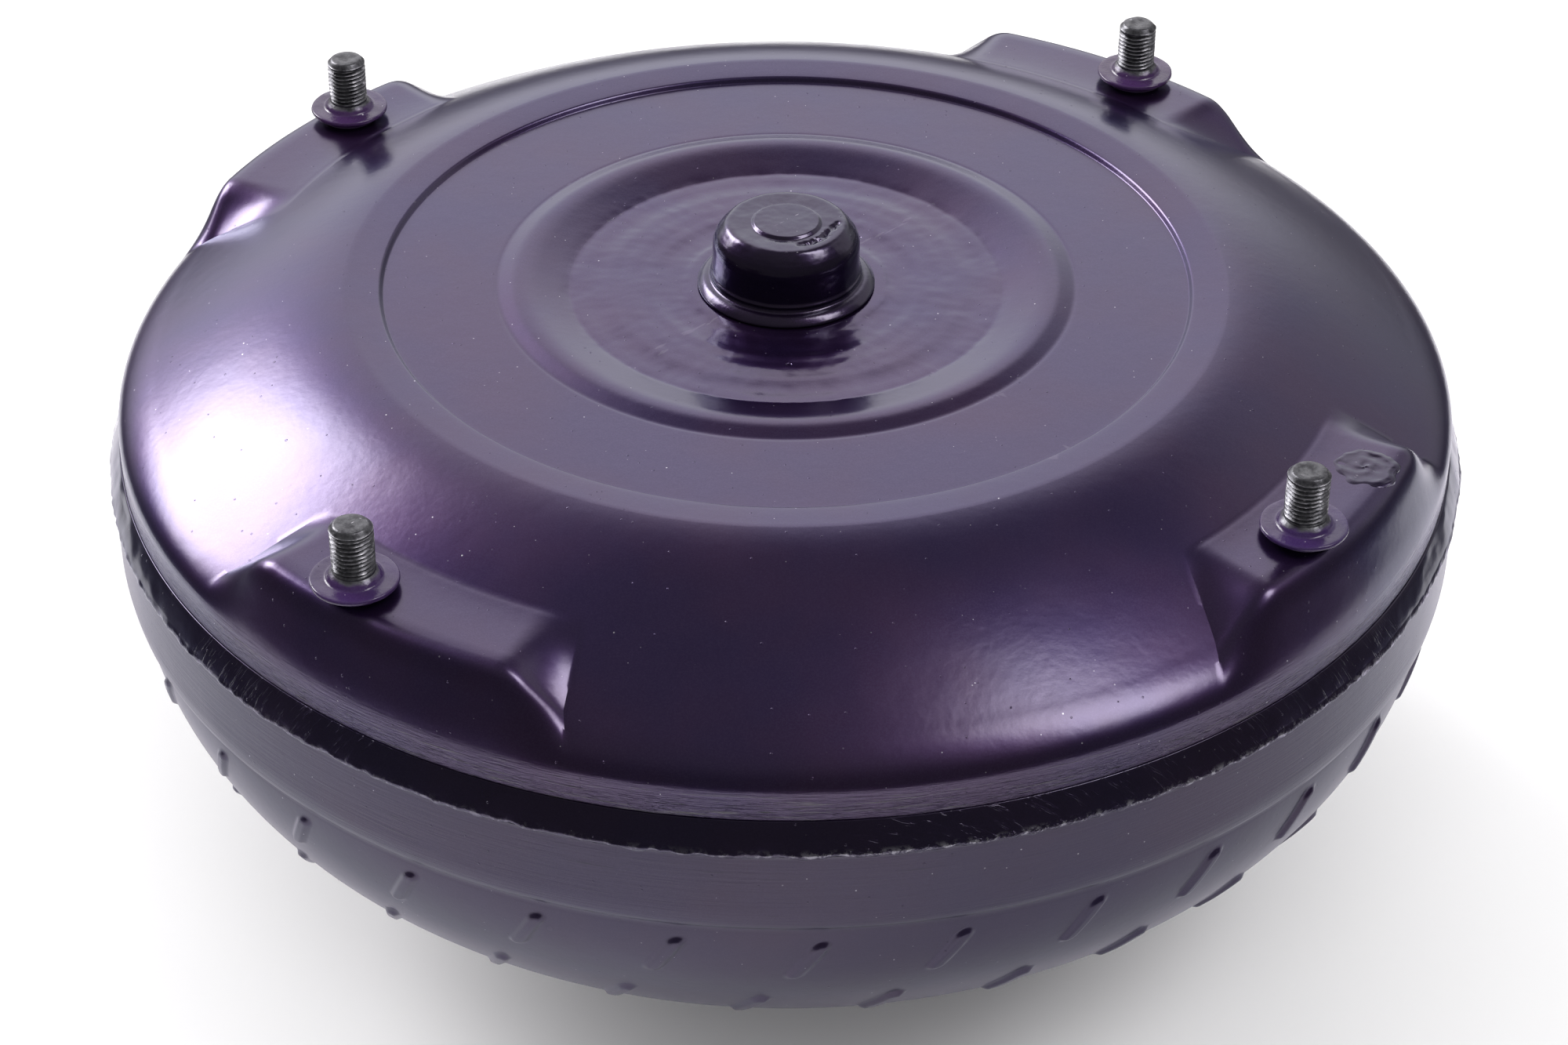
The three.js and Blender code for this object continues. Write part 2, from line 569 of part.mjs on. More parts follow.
function crankshaftPilot() {
  const top = SEAT_Z + PILOT_TOP_ABOVE_SEATS;
  const foot = FLOOR_Z + SPOT_FACE_HEIGHT + GAP;
  const collarTop = foot + PILOT_COLLAR_HEIGHT;
  const grooveTop = collarTop + PILOT_GROOVE_HEIGHT;
  const edge = bezierArc(
    [PILOT_RADIUS, top - PILOT_EDGE], [PILOT_RADIUS, top], [PILOT_RADIUS - PILOT_EDGE, top], 2,
  );
  return revolve([
    [0, FLOOR_UNDERSIDE_Z],
    [PILOT_SPIGOT_RADIUS, FLOOR_UNDERSIDE_Z],
    [PILOT_SPIGOT_RADIUS, foot],
    [PILOT_COLLAR_RADIUS, foot],
    [PILOT_COLLAR_RADIUS, collarTop - PILOT_COLLAR_BEVEL],
    [PILOT_COLLAR_RADIUS - PILOT_COLLAR_BEVEL, collarTop],
    [PILOT_RADIUS - PILOT_GROOVE_DEPTH, collarTop],
    [PILOT_RADIUS - PILOT_GROOVE_DEPTH, grooveTop],
    [PILOT_RADIUS, grooveTop + PILOT_GROOVE_DEPTH],
    ...edge,
    [PILOT_DISC_RADIUS, top],
    [PILOT_DISC_RADIUS - PILOT_DISC_HEIGHT, top + PILOT_DISC_HEIGHT],
    [0, top + PILOT_DISC_HEIGHT],
  ], HUB_SEGMENTS);
}

function flexplateStud() {
  const neckBottom = BOSS_TOP_Z + GAP;
  const flangeBottom = neckBottom + STUD_NECK_HEIGHT;
  const collarTop = SEAT_Z + STUD_COLLAR_HEIGHT;
  const tip = SEAT_Z + STUD_THREAD_LENGTH;
  const stud = revolve([
    [0, BOSS_TOP_Z - COVER_WALL],
    [STUD_SHANK_RADIUS, BOSS_TOP_Z - COVER_WALL],
    [STUD_SHANK_RADIUS, neckBottom],
    [STUD_NECK_RADIUS, neckBottom],
    [STUD_NECK_RADIUS, flangeBottom],
    [STUD_FLANGE_RADIUS, flangeBottom],
    [STUD_FLANGE_RADIUS, SEAT_Z],
    [STUD_COLLAR_RADIUS, SEAT_Z],
    [STUD_COLLAR_RADIUS, collarTop],
    [STUD_THREAD_RADIUS, collarTop + STUD_COLLAR_SLOPE],
    [STUD_THREAD_RADIUS, tip - STUD_CHAMFER],
    [STUD_TIP_RADIUS, tip],
    [0, tip],
  ], SMALL_SEGMENTS);
  return stud.translate([STUD_CIRCLE_RADIUS, 0, 0]);
}

function drainPlug() {
  const plug = revolve([
    [0, BOSS_TOP_Z - COVER_WALL],
    [DRAIN_PLUG_RADIUS, BOSS_TOP_Z - COVER_WALL],
    [DRAIN_PLUG_RADIUS, BOSS_TOP_Z],
    [DRAIN_PLUG_RADIUS - DRAIN_PLUG_BEVEL, BOSS_TOP_Z + DRAIN_PLUG_HEAD],
    [0, BOSS_TOP_Z + DRAIN_PLUG_HEAD],
  ], SMALL_SEGMENTS);
  return turned(plug.translate([STUD_CIRCLE_RADIUS, 0, 0]), FIRST_STUD_ANGLE + DRAIN_PLUG_ANGLE);
}

function closureWeld() {
  const inner = SKIRT_RADIUS + GAP;
  const foot = BAND_TOP_Z + GAP;
  const [toeIn, toeUp] = WELD_TOE;
  const [waistOut, waistUp] = WELD_WAIST;
  return revolve([
    [inner, foot],
    [inner + WELD_BULGE - toeIn, foot],
    [inner + WELD_BULGE, foot + toeUp],
    [inner + waistOut * WELD_BULGE, foot + waistUp * WELD_HEIGHT],
    [inner + WELD_TOP_WIDTH, foot + WELD_HEIGHT],
    [inner, foot + WELD_HEIGHT],
  ], HOUSING_SEGMENTS);
}

// ---------------------------------------------------------------- impeller
function impellerShell() {
  const neck = HUB_FLANGE_RADIUS + GAP;
  const low = BOWL_LOW_RADIUS;
  const mouth = SKIRT_RADIUS;
  const rise = BOWL_BOTTOM_Z + BOWL_RECESS;
  const [footDrop, footHeight] = BAND_FOOT;
  const bandFoot = BOWL_MOUTH_Z - footDrop;
  const taper = BAND_RADIUS - BAND_TAPER;
  const lap = LAP_RADIUS + GAP;
  const shelf = BAND_TOP_Z - SKIRT_LAP - GAP;
  const outerBowl = ellipseArc(
    low, BOWL_MOUTH_Z, mouth - low, BOWL_DEPTH, BOWL_START_ANGLE, -90, 5,
  );
  const outerReturn = ellipseArc(low, rise, low - neck, BOWL_RECESS, -90, -180, 3).slice(1);
  const wall = SHELL_WALL;
  const innerReturn = ellipseArc(low, rise + wall, low - neck - wall, BOWL_RECESS, -180, -90, 3);
  const innerBowl = ellipseArc(
    low, BOWL_MOUTH_Z, mouth - low - wall, BOWL_DEPTH - wall, -90, 0, 5,
  ).slice(1);
  return revolve([
    [BAND_RADIUS, BAND_TOP_Z],
    [BAND_RADIUS, BAND_TOP_Z - BAND_STRAIGHT],
    [taper, bandFoot],
    [taper - 0.5 * BAND_STEP, bandFoot - footHeight],
    ...outerBowl,
    ...outerReturn,
    [neck, rise + wall],
    ...innerReturn,
    ...innerBowl,
    [mouth - wall, shelf],
    [lap, shelf],
    [lap, BAND_TOP_Z],
  ], HOUSING_SEGMENTS);
}

function impellerHub() {
  const flangeBottom = HUB_FACE_Z - HUB_FLANGE_THICKNESS;
  const body = revolve([
    [HUB_BORE_RADIUS, 0],
    [HUB_RADIUS - HUB_CHAMFER, 0],
    [HUB_RADIUS, HUB_CHAMFER],
    [HUB_RADIUS, flangeBottom - HUB_FILLET],
    [HUB_RADIUS + HUB_FILLET, flangeBottom],
    [HUB_FLANGE_RADIUS, flangeBottom],
    [HUB_FLANGE_RADIUS, HUB_FACE_Z],
    [HUB_BORE_RADIUS, HUB_FACE_Z],
  ], HUB_SEGMENTS);
  const half = HUB_SLOT_WIDTH / 2;
  const reach = HUB_RADIUS + OPEN_END;
  const slot = prism(
    [[-reach, -half], [reach, -half], [reach, half], [-reach, half]], -CUT_OVER, HUB_SLOT_DEPTH,
  );
  return body.subtract(slot);
}

// One blade: a curved plate between a shell line and a core line, swept round the axis.
function blade(shellLine, corePoints, turn) {
  const loops = shellLine.map(([shellR, shellZ], i) => {
    const [coreR, coreZ] = corePoints[i];
    const angle = turn(i / (shellLine.length - 1));
    const halfAtShell = THREE.MathUtils.radToDeg((0.5 * BLADE_THICKNESS) / shellR);
    const halfAtCore = THREE.MathUtils.radToDeg((0.5 * BLADE_THICKNESS) / coreR);
    return [
      polar(shellR, angle - halfAtShell, shellZ),
      polar(shellR, angle + halfAtShell, shellZ),
      polar(coreR, angle + halfAtCore, coreZ),
      polar(coreR, angle - halfAtCore, coreZ),
    ];
  });
  return skin(loops);
}

function coreRing(halfHeight, from, to) {
  const outer = ellipseArc(TORUS_RADIUS, SPLIT_Z, CORE_HALF_WIDTH, halfHeight, from, to, 2);
  const inner = ellipseArc(
    TORUS_RADIUS, SPLIT_Z, CORE_HALF_WIDTH - CORE_WALL, halfHeight - CORE_WALL, to, from, 2,
  );
  return revolve([...outer, ...inner], CORE_SEGMENTS);
}

function impellerBladeRing() {
  const wall = SHELL_WALL + BLADE_TO_SHELL;
  const rise = BOWL_BOTTOM_Z + BOWL_RECESS + SHELL_WALL;
  const low = BOWL_LOW_RADIUS;
  const neck = HUB_FLANGE_RADIUS + GAP;
  const bowl = ellipseArc(
    low, BOWL_MOUTH_Z, SKIRT_RADIUS - low - wall, BOWL_DEPTH - wall, IMPELLER_RIM_ANGLE, -90, 3,
  );
  const backFoot = rise + BLADE_TO_SHELL;
  const back = ellipseArc(
    low, backFoot, low - neck - wall, BOWL_RECESS, -90, IMPELLER_NECK_ANGLE, 1,
  ).slice(1);
  const shellLine = [...bowl, ...back];
  const inset = 0.5 * CORE_WALL;
  const corePoints = ellipseArc(
    TORUS_RADIUS,
    SPLIT_Z,
    CORE_HALF_WIDTH - inset,
    CORE_HALF_HEIGHT_IMPELLER - inset,
    ...IMPELLER_CORE_JOIN,
    shellLine.length - 1,
  );
  const vane = blade(shellLine, corePoints, (along) => IMPELLER_SWEEP * along);
  const core = coreRing(CORE_HALF_HEIGHT_IMPELLER, IMPELLER_RIM_ANGLE, IMPELLER_NECK_ANGLE);
  return joined([core, ...repeated(vane, IMPELLER_BLADES)]);
}

// ---------------------------------------------------------------- turbine
function angleAtHeight(halfHeight, height) {
  return 180 - THREE.MathUtils.radToDeg(Math.asin(height / halfHeight));
}

// Quarter ellipses each side of the torus radius, so the rim and the inner edge can differ.
function turbineLine(offset, from, to, steps) {
  const halfHeight = TURBINE_CROWN_Z - TURBINE_WALL + offset - SPLIT_Z;
  const outerHalf = TURBINE_RIM_RADIUS - TURBINE_WALL + offset - TORUS_RADIUS;
  const innerHalf = TORUS_RADIUS - TURBINE_INNER_RADIUS + offset;
  return Array.from({ length: steps + 1 }, (_, i) => {
    const angle = degrees(from + ((to - from) * i) / steps);
    const half = Math.cos(angle) > 0 ? outerHalf : innerHalf;
    return [TORUS_RADIUS + half * Math.cos(angle), SPLIT_Z + halfHeight * Math.sin(angle)];
  });
}

function turbineShell() {
  const flangeBottom = SHELL_FLANGE_TOP_Z - TURBINE_WALL;
  const innerHeight = TURBINE_CROWN_Z - TURBINE_WALL - SPLIT_Z;
  const outerHeight = TURBINE_CROWN_Z - SPLIT_Z;
  const innerEnd = angleAtHeight(innerHeight, flangeBottom - SPLIT_Z);
  const outerEnd = angleAtHeight(outerHeight, SHELL_FLANGE_TOP_Z - SPLIT_Z);
  const bore = TURBINE_HUB_FOOT_RADIUS + GAP;
  const shell = revolve([
    ...turbineLine(TURBINE_WALL, 1, outerEnd, TURBINE_STEPS),
    [bore, SHELL_FLANGE_TOP_Z],
    [bore, flangeBottom],
    ...turbineLine(0, innerEnd, 1, TURBINE_STEPS),
  ], HOUSING_SEGMENTS);
  const hole = rod(
    RIVET_RADIUS + GAP,
    flangeBottom - CUT_OVER,
    SHELL_FLANGE_TOP_Z + CUT_OVER,
    TURBINE_RIVET_CIRCLE,
    0,
    RIVET_SEGMENTS,
  );
  return cutBy(shell, repeated(hole, TURBINE_RIVETS));
}

function turbineBladeRing() {
  const shellLine = turbineLine(-BLADE_TO_SHELL, ...TURBINE_BLADE_ENDS, TURBINE_STEPS);
  const inset = 0.5 * CORE_WALL;
  const corePoints = ellipseArc(
    TORUS_RADIUS,
    SPLIT_Z,
    CORE_HALF_WIDTH - inset,
    CORE_HALF_HEIGHT_TURBINE - inset,
    ...TURBINE_CORE_JOIN,
    TURBINE_STEPS,
  );
  const bow = (along) => TURBINE_BOW * 4 * along * (1 - along);
  const vane = blade(shellLine, corePoints, bow);
  const core = coreRing(CORE_HALF_HEIGHT_TURBINE, ...TURBINE_CORE_ENDS);
  return joined([core, ...repeated(vane, TURBINE_BLADES)]);
}

function driveLugs(clearance, top, bottom) {
  const half = DRIVE_LUG_WIDTH / 2 + clearance;
  const reach = DRIVE_LUG_RADIUS + clearance;
  const start = TURBINE_HUB_RADIUS - DRIVE_LUG_ROOT;
  const lug = prism([[start, -half], [reach, -half], [reach, half], [start, half]], bottom, top);
  return repeated(lug, DRIVE_LUGS);
}

function turbineHub() {
  const flangeTop = HUB_FLANGE_BOTTOM_Z + TURBINE_HUB_FLANGE_THICKNESS;
  const lugTop = DAMPER_Z + DRIVE_LUG_HEIGHT / 2;
  const lugBottom = DAMPER_Z - DRIVE_LUG_HEIGHT / 2;
  const body = revolve([
    [0, TURBINE_HUB_BOTTOM_Z],
    [TURBINE_HUB_FOOT_RADIUS, TURBINE_HUB_BOTTOM_Z],
    [TURBINE_HUB_FOOT_RADIUS, HUB_FLANGE_BOTTOM_Z],
    [TURBINE_HUB_FLANGE_RADIUS, HUB_FLANGE_BOTTOM_Z],
    [TURBINE_HUB_FLANGE_RADIUS, flangeTop],
    [TURBINE_HUB_RADIUS + TURBINE_HUB_FILLET, flangeTop],
    [TURBINE_HUB_RADIUS, flangeTop + TURBINE_HUB_FILLET],
    [TURBINE_HUB_RADIUS, TURBINE_HUB_TOP_Z],
    [0, TURBINE_HUB_TOP_Z],
  ], HUB_SEGMENTS);
  const bore = prism(
    splineOutline(SHAFT_SPLINE_TEETH, SHAFT_SPLINE_ROOT_RADIUS, SHAFT_SPLINE_TIP_RADIUS),
    TURBINE_HUB_BOTTOM_Z - CUT_OVER,
    TURBINE_HUB_TOP_Z + CUT_OVER,
  );
  const hole = rod(
    RIVET_RADIUS + GAP,
    HUB_FLANGE_BOTTOM_Z - CUT_OVER,
    flangeTop + CUT_OVER,
    TURBINE_RIVET_CIRCLE,
    0,
    RIVET_SEGMENTS,
  );
  const splined = joined([body, ...driveLugs(0, lugTop, lugBottom)]);
  return cutBy(splined, [bore, ...repeated(hole, TURBINE_RIVETS)]);
}

function turbineRivet() {
  const bottom = SHELL_FLANGE_TOP_Z - TURBINE_WALL - GAP;
  const top = HUB_FLANGE_BOTTOM_Z + TURBINE_HUB_FLANGE_THICKNESS + GAP;
  const rivet = revolve([
    [0, bottom - RIVET_HEAD_HEIGHT],
    [RIVET_HEAD_RADIUS - RIVET_HEAD_BEVEL, bottom - RIVET_HEAD_HEIGHT],
    [RIVET_HEAD_RADIUS, bottom],
    [RIVET_RADIUS, bottom],
    [RIVET_RADIUS, top],
    [RIVET_HEAD_RADIUS, top],
    [RIVET_HEAD_RADIUS - RIVET_HEAD_BEVEL, top + RIVET_HEAD_HEIGHT],
    [0, top + RIVET_HEAD_HEIGHT],
  ], RIVET_SEGMENTS);
  return rivet.translate([TURBINE_RIVET_CIRCLE, 0, 0]);
}

// ---------------------------------------------------------------- lock-up clutch and damper
function stopPinAngle() {
  return 180 / DAMPER_SPRINGS;
}

function lockupPiston() {
  const bore = TURBINE_HUB_RADIUS + GAP;
  const collarBottom = PISTON_BOTTOM_Z - PISTON_COLLAR_DEPTH;
  const sealTop = PISTON_BOTTOM_Z + SEAL_GROOVE_RISE;
  const sealGroove = bore + SEAL_WIDTH + GAP;
  const lipBottom = PISTON_TOP_Z - PISTON_LIP_DEPTH;
  const plate = revolve([
    [bore, PISTON_TOP_Z],
    [bore, sealTop],
    [sealGroove, sealTop],
    [sealGroove, sealTop - SEAL_HEIGHT - 2 * GAP],
    [bore, sealTop - SEAL_HEIGHT - 2 * GAP],
    [bore, collarBottom],
    [PISTON_COLLAR_RADIUS, collarBottom],
    [PISTON_COLLAR_RADIUS, PISTON_BOTTOM_Z],
    [PISTON_LIP_RADIUS - PISTON_WALL, PISTON_BOTTOM_Z],
    [PISTON_LIP_RADIUS - PISTON_WALL, lipBottom],
    [PISTON_LIP_RADIUS, lipBottom],
    [PISTON_LIP_RADIUS, PISTON_TOP_Z - PISTON_BEVEL],
    [PISTON_LIP_RADIUS - PISTON_BEVEL, PISTON_TOP_Z],
  ], WHEEL_SEGMENTS);
  const hole = rod(
    STOP_PIN_RADIUS + GAP,
    PISTON_BOTTOM_Z - CUT_OVER,
    PISTON_TOP_Z + CUT_OVER,
    STOP_PIN_CIRCLE,
    0,
    RIVET_SEGMENTS,
  );
  return cutBy(plate, repeated(hole, DAMPER_SPRINGS, stopPinAngle()));
}

function frictionLining() {
  const bottom = PISTON_TOP_Z + GAP;
  const top = bottom + LINING_THICKNESS;
  return ring(LINING_INNER_RADIUS, LINING_OUTER_RADIUS, bottom, top, WHEEL_SEGMENTS);
}

function pistonSeal() {
  const top = PISTON_BOTTOM_Z + SEAL_GROOVE_RISE - GAP;
  const inner = TURBINE_HUB_RADIUS + GAP;
  return ring(inner, inner + SEAL_WIDTH, top - SEAL_HEIGHT, top, HUB_SEGMENTS);
}

function springWindow(width, endSpace) {
  const half = DAMPER_SPRING_LENGTH / 2 + DAMPER_SPRING_WIRE + endSpace;
  const inner = DAMPER_SPRING_CIRCLE - width;
  const outer = DAMPER_SPRING_CIRCLE + width;
  const window = prism(
    [[inner, -half], [outer, -half], [outer, half], [inner, half]],
    DAMPER_Z - WINDOW_CUT,
    DAMPER_Z + WINDOW_CUT,
  );
  return repeated(window, DAMPER_SPRINGS);
}

function retainerPlate(bottom) {
  const top = bottom + DAMPER_PLATE;
  const plate = ring(DAMPER_PLATE_INNER_RADIUS, DAMPER_PLATE_RADIUS, bottom, top, WHEEL_SEGMENTS);
  const hole = rod(
    STOP_PIN_RADIUS + GAP, bottom - CUT_OVER, top + CUT_OVER, STOP_PIN_CIRCLE, 0, RIVET_SEGMENTS,
  );
  const holes = repeated(hole, DAMPER_SPRINGS, stopPinAngle());
  const open = DAMPER_SPRING_RADIUS + DAMPER_SPRING_WIRE + GAP;
  return cutBy(plate, [...holes, ...springWindow(open, GAP)]);
}

function drivenPlate() {
  const bottom = DAMPER_Z - DRIVEN_PLATE / 2;
  const top = DAMPER_Z + DRIVEN_PLATE / 2;
  const plate = ring(TURBINE_HUB_RADIUS + GAP, DRIVEN_PLATE_RADIUS, bottom, top, WHEEL_SEGMENTS);
  const notches = driveLugs(GAP, top + CUT_OVER, bottom - CUT_OVER);
  const open = DAMPER_SPRING_RADIUS + DAMPER_SPRING_WIRE + GAP;
  const swing = DAMPER_TWIST + THREE.MathUtils.radToDeg((STOP_PIN_RADIUS + GAP) / STOP_PIN_CIRCLE);
  const depth = STOP_PIN_CIRCLE - STOP_PIN_RADIUS - 2 * GAP;
  const slot = prism([
    polar(depth, -swing, 0),
    polar(DRIVEN_PLATE_RADIUS + OPEN_END, -swing, 0),
    polar(DRIVEN_PLATE_RADIUS + OPEN_END, swing, 0),
    polar(depth, swing, 0),
  ], bottom - CUT_OVER, top + CUT_OVER);
  const slots = repeated(slot, DAMPER_SPRINGS, stopPinAngle());
  return cutBy(plate, [...notches, ...springWindow(open, GAP), ...slots]);
}

function stopPin() {
  const rear = DAMPER_REAR_Z - GAP;
  const frontPlateTop = DAMPER_Z + DAMPER_PLATE_OFFSET + DAMPER_PLATE + GAP;
  const pin = revolve([
    [0, rear - STOP_PIN_HEAD_HEIGHT],
    [STOP_PIN_HEAD_RADIUS - STOP_PIN_HEAD_BEVEL, rear - STOP_PIN_HEAD_HEIGHT],
    [STOP_PIN_HEAD_RADIUS, rear],
    [STOP_PIN_RADIUS, rear],
    [STOP_PIN_RADIUS, frontPlateTop],
    [STOP_PIN_HEAD_RADIUS, frontPlateTop],
    [STOP_PIN_HEAD_RADIUS, PISTON_BOTTOM_Z - GAP],
    [STOP_PIN_RADIUS, PISTON_BOTTOM_Z - GAP],
    [STOP_PIN_RADIUS, PISTON_TOP_Z],
    [0, PISTON_TOP_Z],
  ], RIVET_SEGMENTS);
  return pin.translate([STOP_PIN_CIRCLE, 0, 0]);
}

class CoilCurve extends THREE.Curve {
  getPoint(t) {
    const angle = 2 * Math.PI * DAMPER_SPRING_TURNS * t;
    return new THREE.Vector3(
      DAMPER_SPRING_CIRCLE + DAMPER_SPRING_RADIUS * Math.cos(angle),
      DAMPER_SPRING_LENGTH * (t - 0.5),
      DAMPER_Z + DAMPER_SPRING_RADIUS * Math.sin(angle),
    );
  }
}

function damperSpring() {
  const section = new THREE.Shape(
    Array.from({ length: SPRING_WIRE_SIDES }, (_, i) => {
      const angle = (2 * Math.PI * i) / SPRING_WIRE_SIDES;
      const wire = DAMPER_SPRING_WIRE;
      return new THREE.Vector2(wire * Math.cos(angle), wire * Math.sin(angle));
    }),
  );
  const geometry = new THREE.ExtrudeGeometry(section, {
    steps: DAMPER_SPRING_TURNS * SPRING_STEPS_PER_TURN - 1,
    extrudePath: new CoilCurve(),
    bevelEnabled: false,
  });
  return toSolid(geometry);
}

// ---------------------------------------------------------------- stator and one-way clutch
function innerRace() {
  const body = revolve([
    [0, RACE_BOTTOM_Z],
    [RACE_RADIUS, RACE_BOTTOM_Z],
    [RACE_RADIUS, RACE_TOP_Z],
    [0, RACE_TOP_Z],
  ], HUB_SEGMENTS);
  const bore = prism(
    splineOutline(RACE_SPLINE_TEETH, RACE_SPLINE_ROOT_RADIUS, RACE_SPLINE_TIP_RADIUS),
    RACE_BOTTOM_Z - CUT_OVER,
    RACE_TOP_Z + CUT_OVER,
  );
  return body.subtract(bore);
}

// Ramped pockets: each is deepest at the spring's end and closes on the roller at the other.
function clutchCam() {
  const bottom = STATOR_Z - ROLLER_LENGTH / 2 - GAP;
  const top = STATOR_Z + ROLLER_LENGTH / 2 + GAP;
  const body = ring(RACE_RADIUS + CAM_CLEARANCE, CAM_OUTER_RADIUS, bottom, top, HUB_SEGMENTS);
  const outline = [];
  for (let i = 0; i <= POCKET_STEPS; i += 1) {
    const along = i / POCKET_STEPS;
    const depth = THREE.MathUtils.lerp(POCKET_SHALLOW, POCKET_DEEP, along);
    const angle = THREE.MathUtils.lerp(POCKET_START_ANGLE, CAM_RAMP_ANGLE, along);
    outline.push(polar(CAM_INNER_RADIUS + depth, angle, 0));
  }
  outline.push(polar(RACE_RADIUS - CUT_OVER, CAM_RAMP_ANGLE, 0));
  outline.push(polar(RACE_RADIUS - CUT_OVER, POCKET_START_ANGLE, 0));
  const pocket = prism(outline, bottom - CUT_OVER, top + CUT_OVER);
  return cutBy(body, repeated(pocket, ROLLER_COUNT));
}

function clutchRoller() {
  const fit = ROLLER_SLACK / 2;
  const [x, y] = polar(RACE_RADIUS + ROLLER_RADIUS + fit, 0, 0);
  const bottom = STATOR_Z - ROLLER_LENGTH / 2;
  return rod(ROLLER_RADIUS - fit, bottom, bottom + ROLLER_LENGTH, x, y, SMALL_SEGMENTS);
}

// A folded strip that pushes its roller towards the shallow end of the ramp.
function rollerSpring() {
  const inner = RACE_RADIUS + CAM_CLEARANCE;
  const outer = CAM_INNER_RADIUS - ROLLER_SPRING_CLEARANCE - ROLLER_SPRING_FOLD;
  const path = [];
  for (let i = 0; i <= ROLLER_SPRING_FOLDS; i += 1) {
    const angle = THREE.MathUtils.lerp(...ROLLER_SPRING_ANGLES, i / ROLLER_SPRING_FOLDS);
    path.push([i % 2 === 0 ? inner : outer, angle]);
  }
  const side = path.map(([r, angle]) => polar(r, angle, 0));
  const other = path.map(([r, angle]) => polar(r + ROLLER_SPRING_FOLD, angle, 0)).reverse();
  const half = ROLLER_LENGTH / 2 - ROLLER_SPRING_SHORTER;
  return prism([...side, ...other], STATOR_Z - half, STATOR_Z + half);
}

function statorBlade() {
  const camber = STATOR_BLADE_LEAN;
  const half = STATOR_BLADE_HEIGHT / 2;
  const section = [
    [0, -half],
    [0.5 * STATOR_BLADE_THICKNESS, -0.4 * half],
    [0.35 * STATOR_BLADE_THICKNESS, 0.35 * half],
    [0, half],
    [-0.35 * STATOR_BLADE_THICKNESS, 0.35 * half],
    [-0.5 * STATOR_BLADE_THICKNESS, -0.4 * half],
  ];
  const level = (radius) => section.map(([across, up]) => {
    const bend = camber * Math.pow((up + half) / (2 * half), 2);
    return [radius, across + bend - camber / 3, STATOR_Z + up];
  });
  const root = level(STATOR_HUB_RADIUS - STATOR_BLADE_ROOT);
  return skin([root, level(STATOR_TIP_RADIUS + 0.5 * STATOR_SHROUD_WALL)]);
}

function statorWheel() {
  const half = STATOR_HUB_LENGTH / 2;
  const hub = ring(
    STATOR_BORE_RADIUS, STATOR_HUB_RADIUS, STATOR_Z - half, STATOR_Z + half, HUB_SEGMENTS,
  );
  const shroudHalf = STATOR_SHROUD_LENGTH / 2;
  const shroud = ring(
    STATOR_TIP_RADIUS,
    STATOR_TIP_RADIUS + STATOR_SHROUD_WALL,
    STATOR_Z - shroudHalf,
    STATOR_Z + shroudHalf,
    WHEEL_SEGMENTS,
  );
  return joined([hub, shroud, ...repeated(statorBlade(), STATOR_BLADES)]);
}

function endCap(bottom) {
  return ring(
    RACE_RADIUS + RUN, CAM_OUTER_RADIUS, bottom, bottom + END_CAP_THICKNESS, HUB_SEGMENTS,
  );
}

function snapRing() {
  const bottom = STATOR_Z + ROLLER_LENGTH / 2 + END_CAP_THICKNESS + 3 * GAP;
  const top = bottom + SNAP_RING_THICKNESS;
  const inner = CAM_OUTER_RADIUS - SNAP_RING_WIDTH;
  const body = ring(inner, CAM_OUTER_RADIUS, bottom, top, HUB_SEGMENTS);
  const mouth = prism([
    [0, 0],
    polar(CAM_OUTER_RADIUS + OPEN_END, -SNAP_RING_OPENING / 2, 0),
    polar(CAM_OUTER_RADIUS + OPEN_END, SNAP_RING_OPENING / 2, 0),
  ], bottom - CUT_OVER, top + CUT_OVER);
  return body.subtract(mouth);
}

// ---------------------------------------------------------------- thrust bearings
function thrustBearing(bottom, height) {
  const inner = HUB_BORE_RADIUS + BEARING_BEYOND_BORE;
  const outer = inner + BEARING_WIDTH;
  const middle = bottom + height / 2;
  const cageHalf = CAGE_SHARE * height;
  const cage = ring(inner, outer, middle - cageHalf, middle + cageHalf, HUB_SEGMENTS);
  const needleLength = BEARING_WIDTH - NEEDLE_SHORTER;
  const geometry = new THREE.CylinderGeometry(height / 2, height / 2, needleLength, NEEDLE_SIDES);
  geometry.rotateZ(Math.PI / 2);
  geometry.translate(0.5 * (inner + outer), 0, middle);
  const needle = toSolid(geometry);
  return joined([cage, ...repeated(needle, NEEDLE_COUNT)]);
}

function frontThrustWasher() {
  const bottom = TURBINE_HUB_TOP_Z + GAP;
  const inner = SHAFT_SPLINE_ROOT_RADIUS + WASHER_INNER_MARGIN;
  const outer = TURBINE_HUB_RADIUS - WASHER_OUTER_MARGIN;
  return ring(inner, outer, bottom, bottom + WASHER_THICKNESS, HUB_SEGMENTS);
}

// ---------------------------------------------------------------- assembly
function addRepeated(name, solid, count, start, finish) {
  repeated(solid, count, start).forEach((copy, i) => addPiece(`${name}_${i + 1}`, copy, finish));
}

addPiece('front_cover', frontCover(), 'paint');
addPiece('crankshaft_pilot', crankshaftPilot(), 'paint');
addRepeated('flexplate_stud', flexplateStud(), STUD_COUNT, FIRST_STUD_ANGLE, 'thread');
addPiece('drain_plug', drainPlug(), 'paint');
addPiece('closure_weld', closureWeld(), 'weld');
addPiece('impeller_shell', impellerShell(), 'paint');
addPiece('impeller_hub', impellerHub(), 'steel');
addPiece('impeller_blade_ring', impellerBladeRing(), 'sheet');
addPiece('front_thrust_washer', frontThrustWasher(), 'bronze');

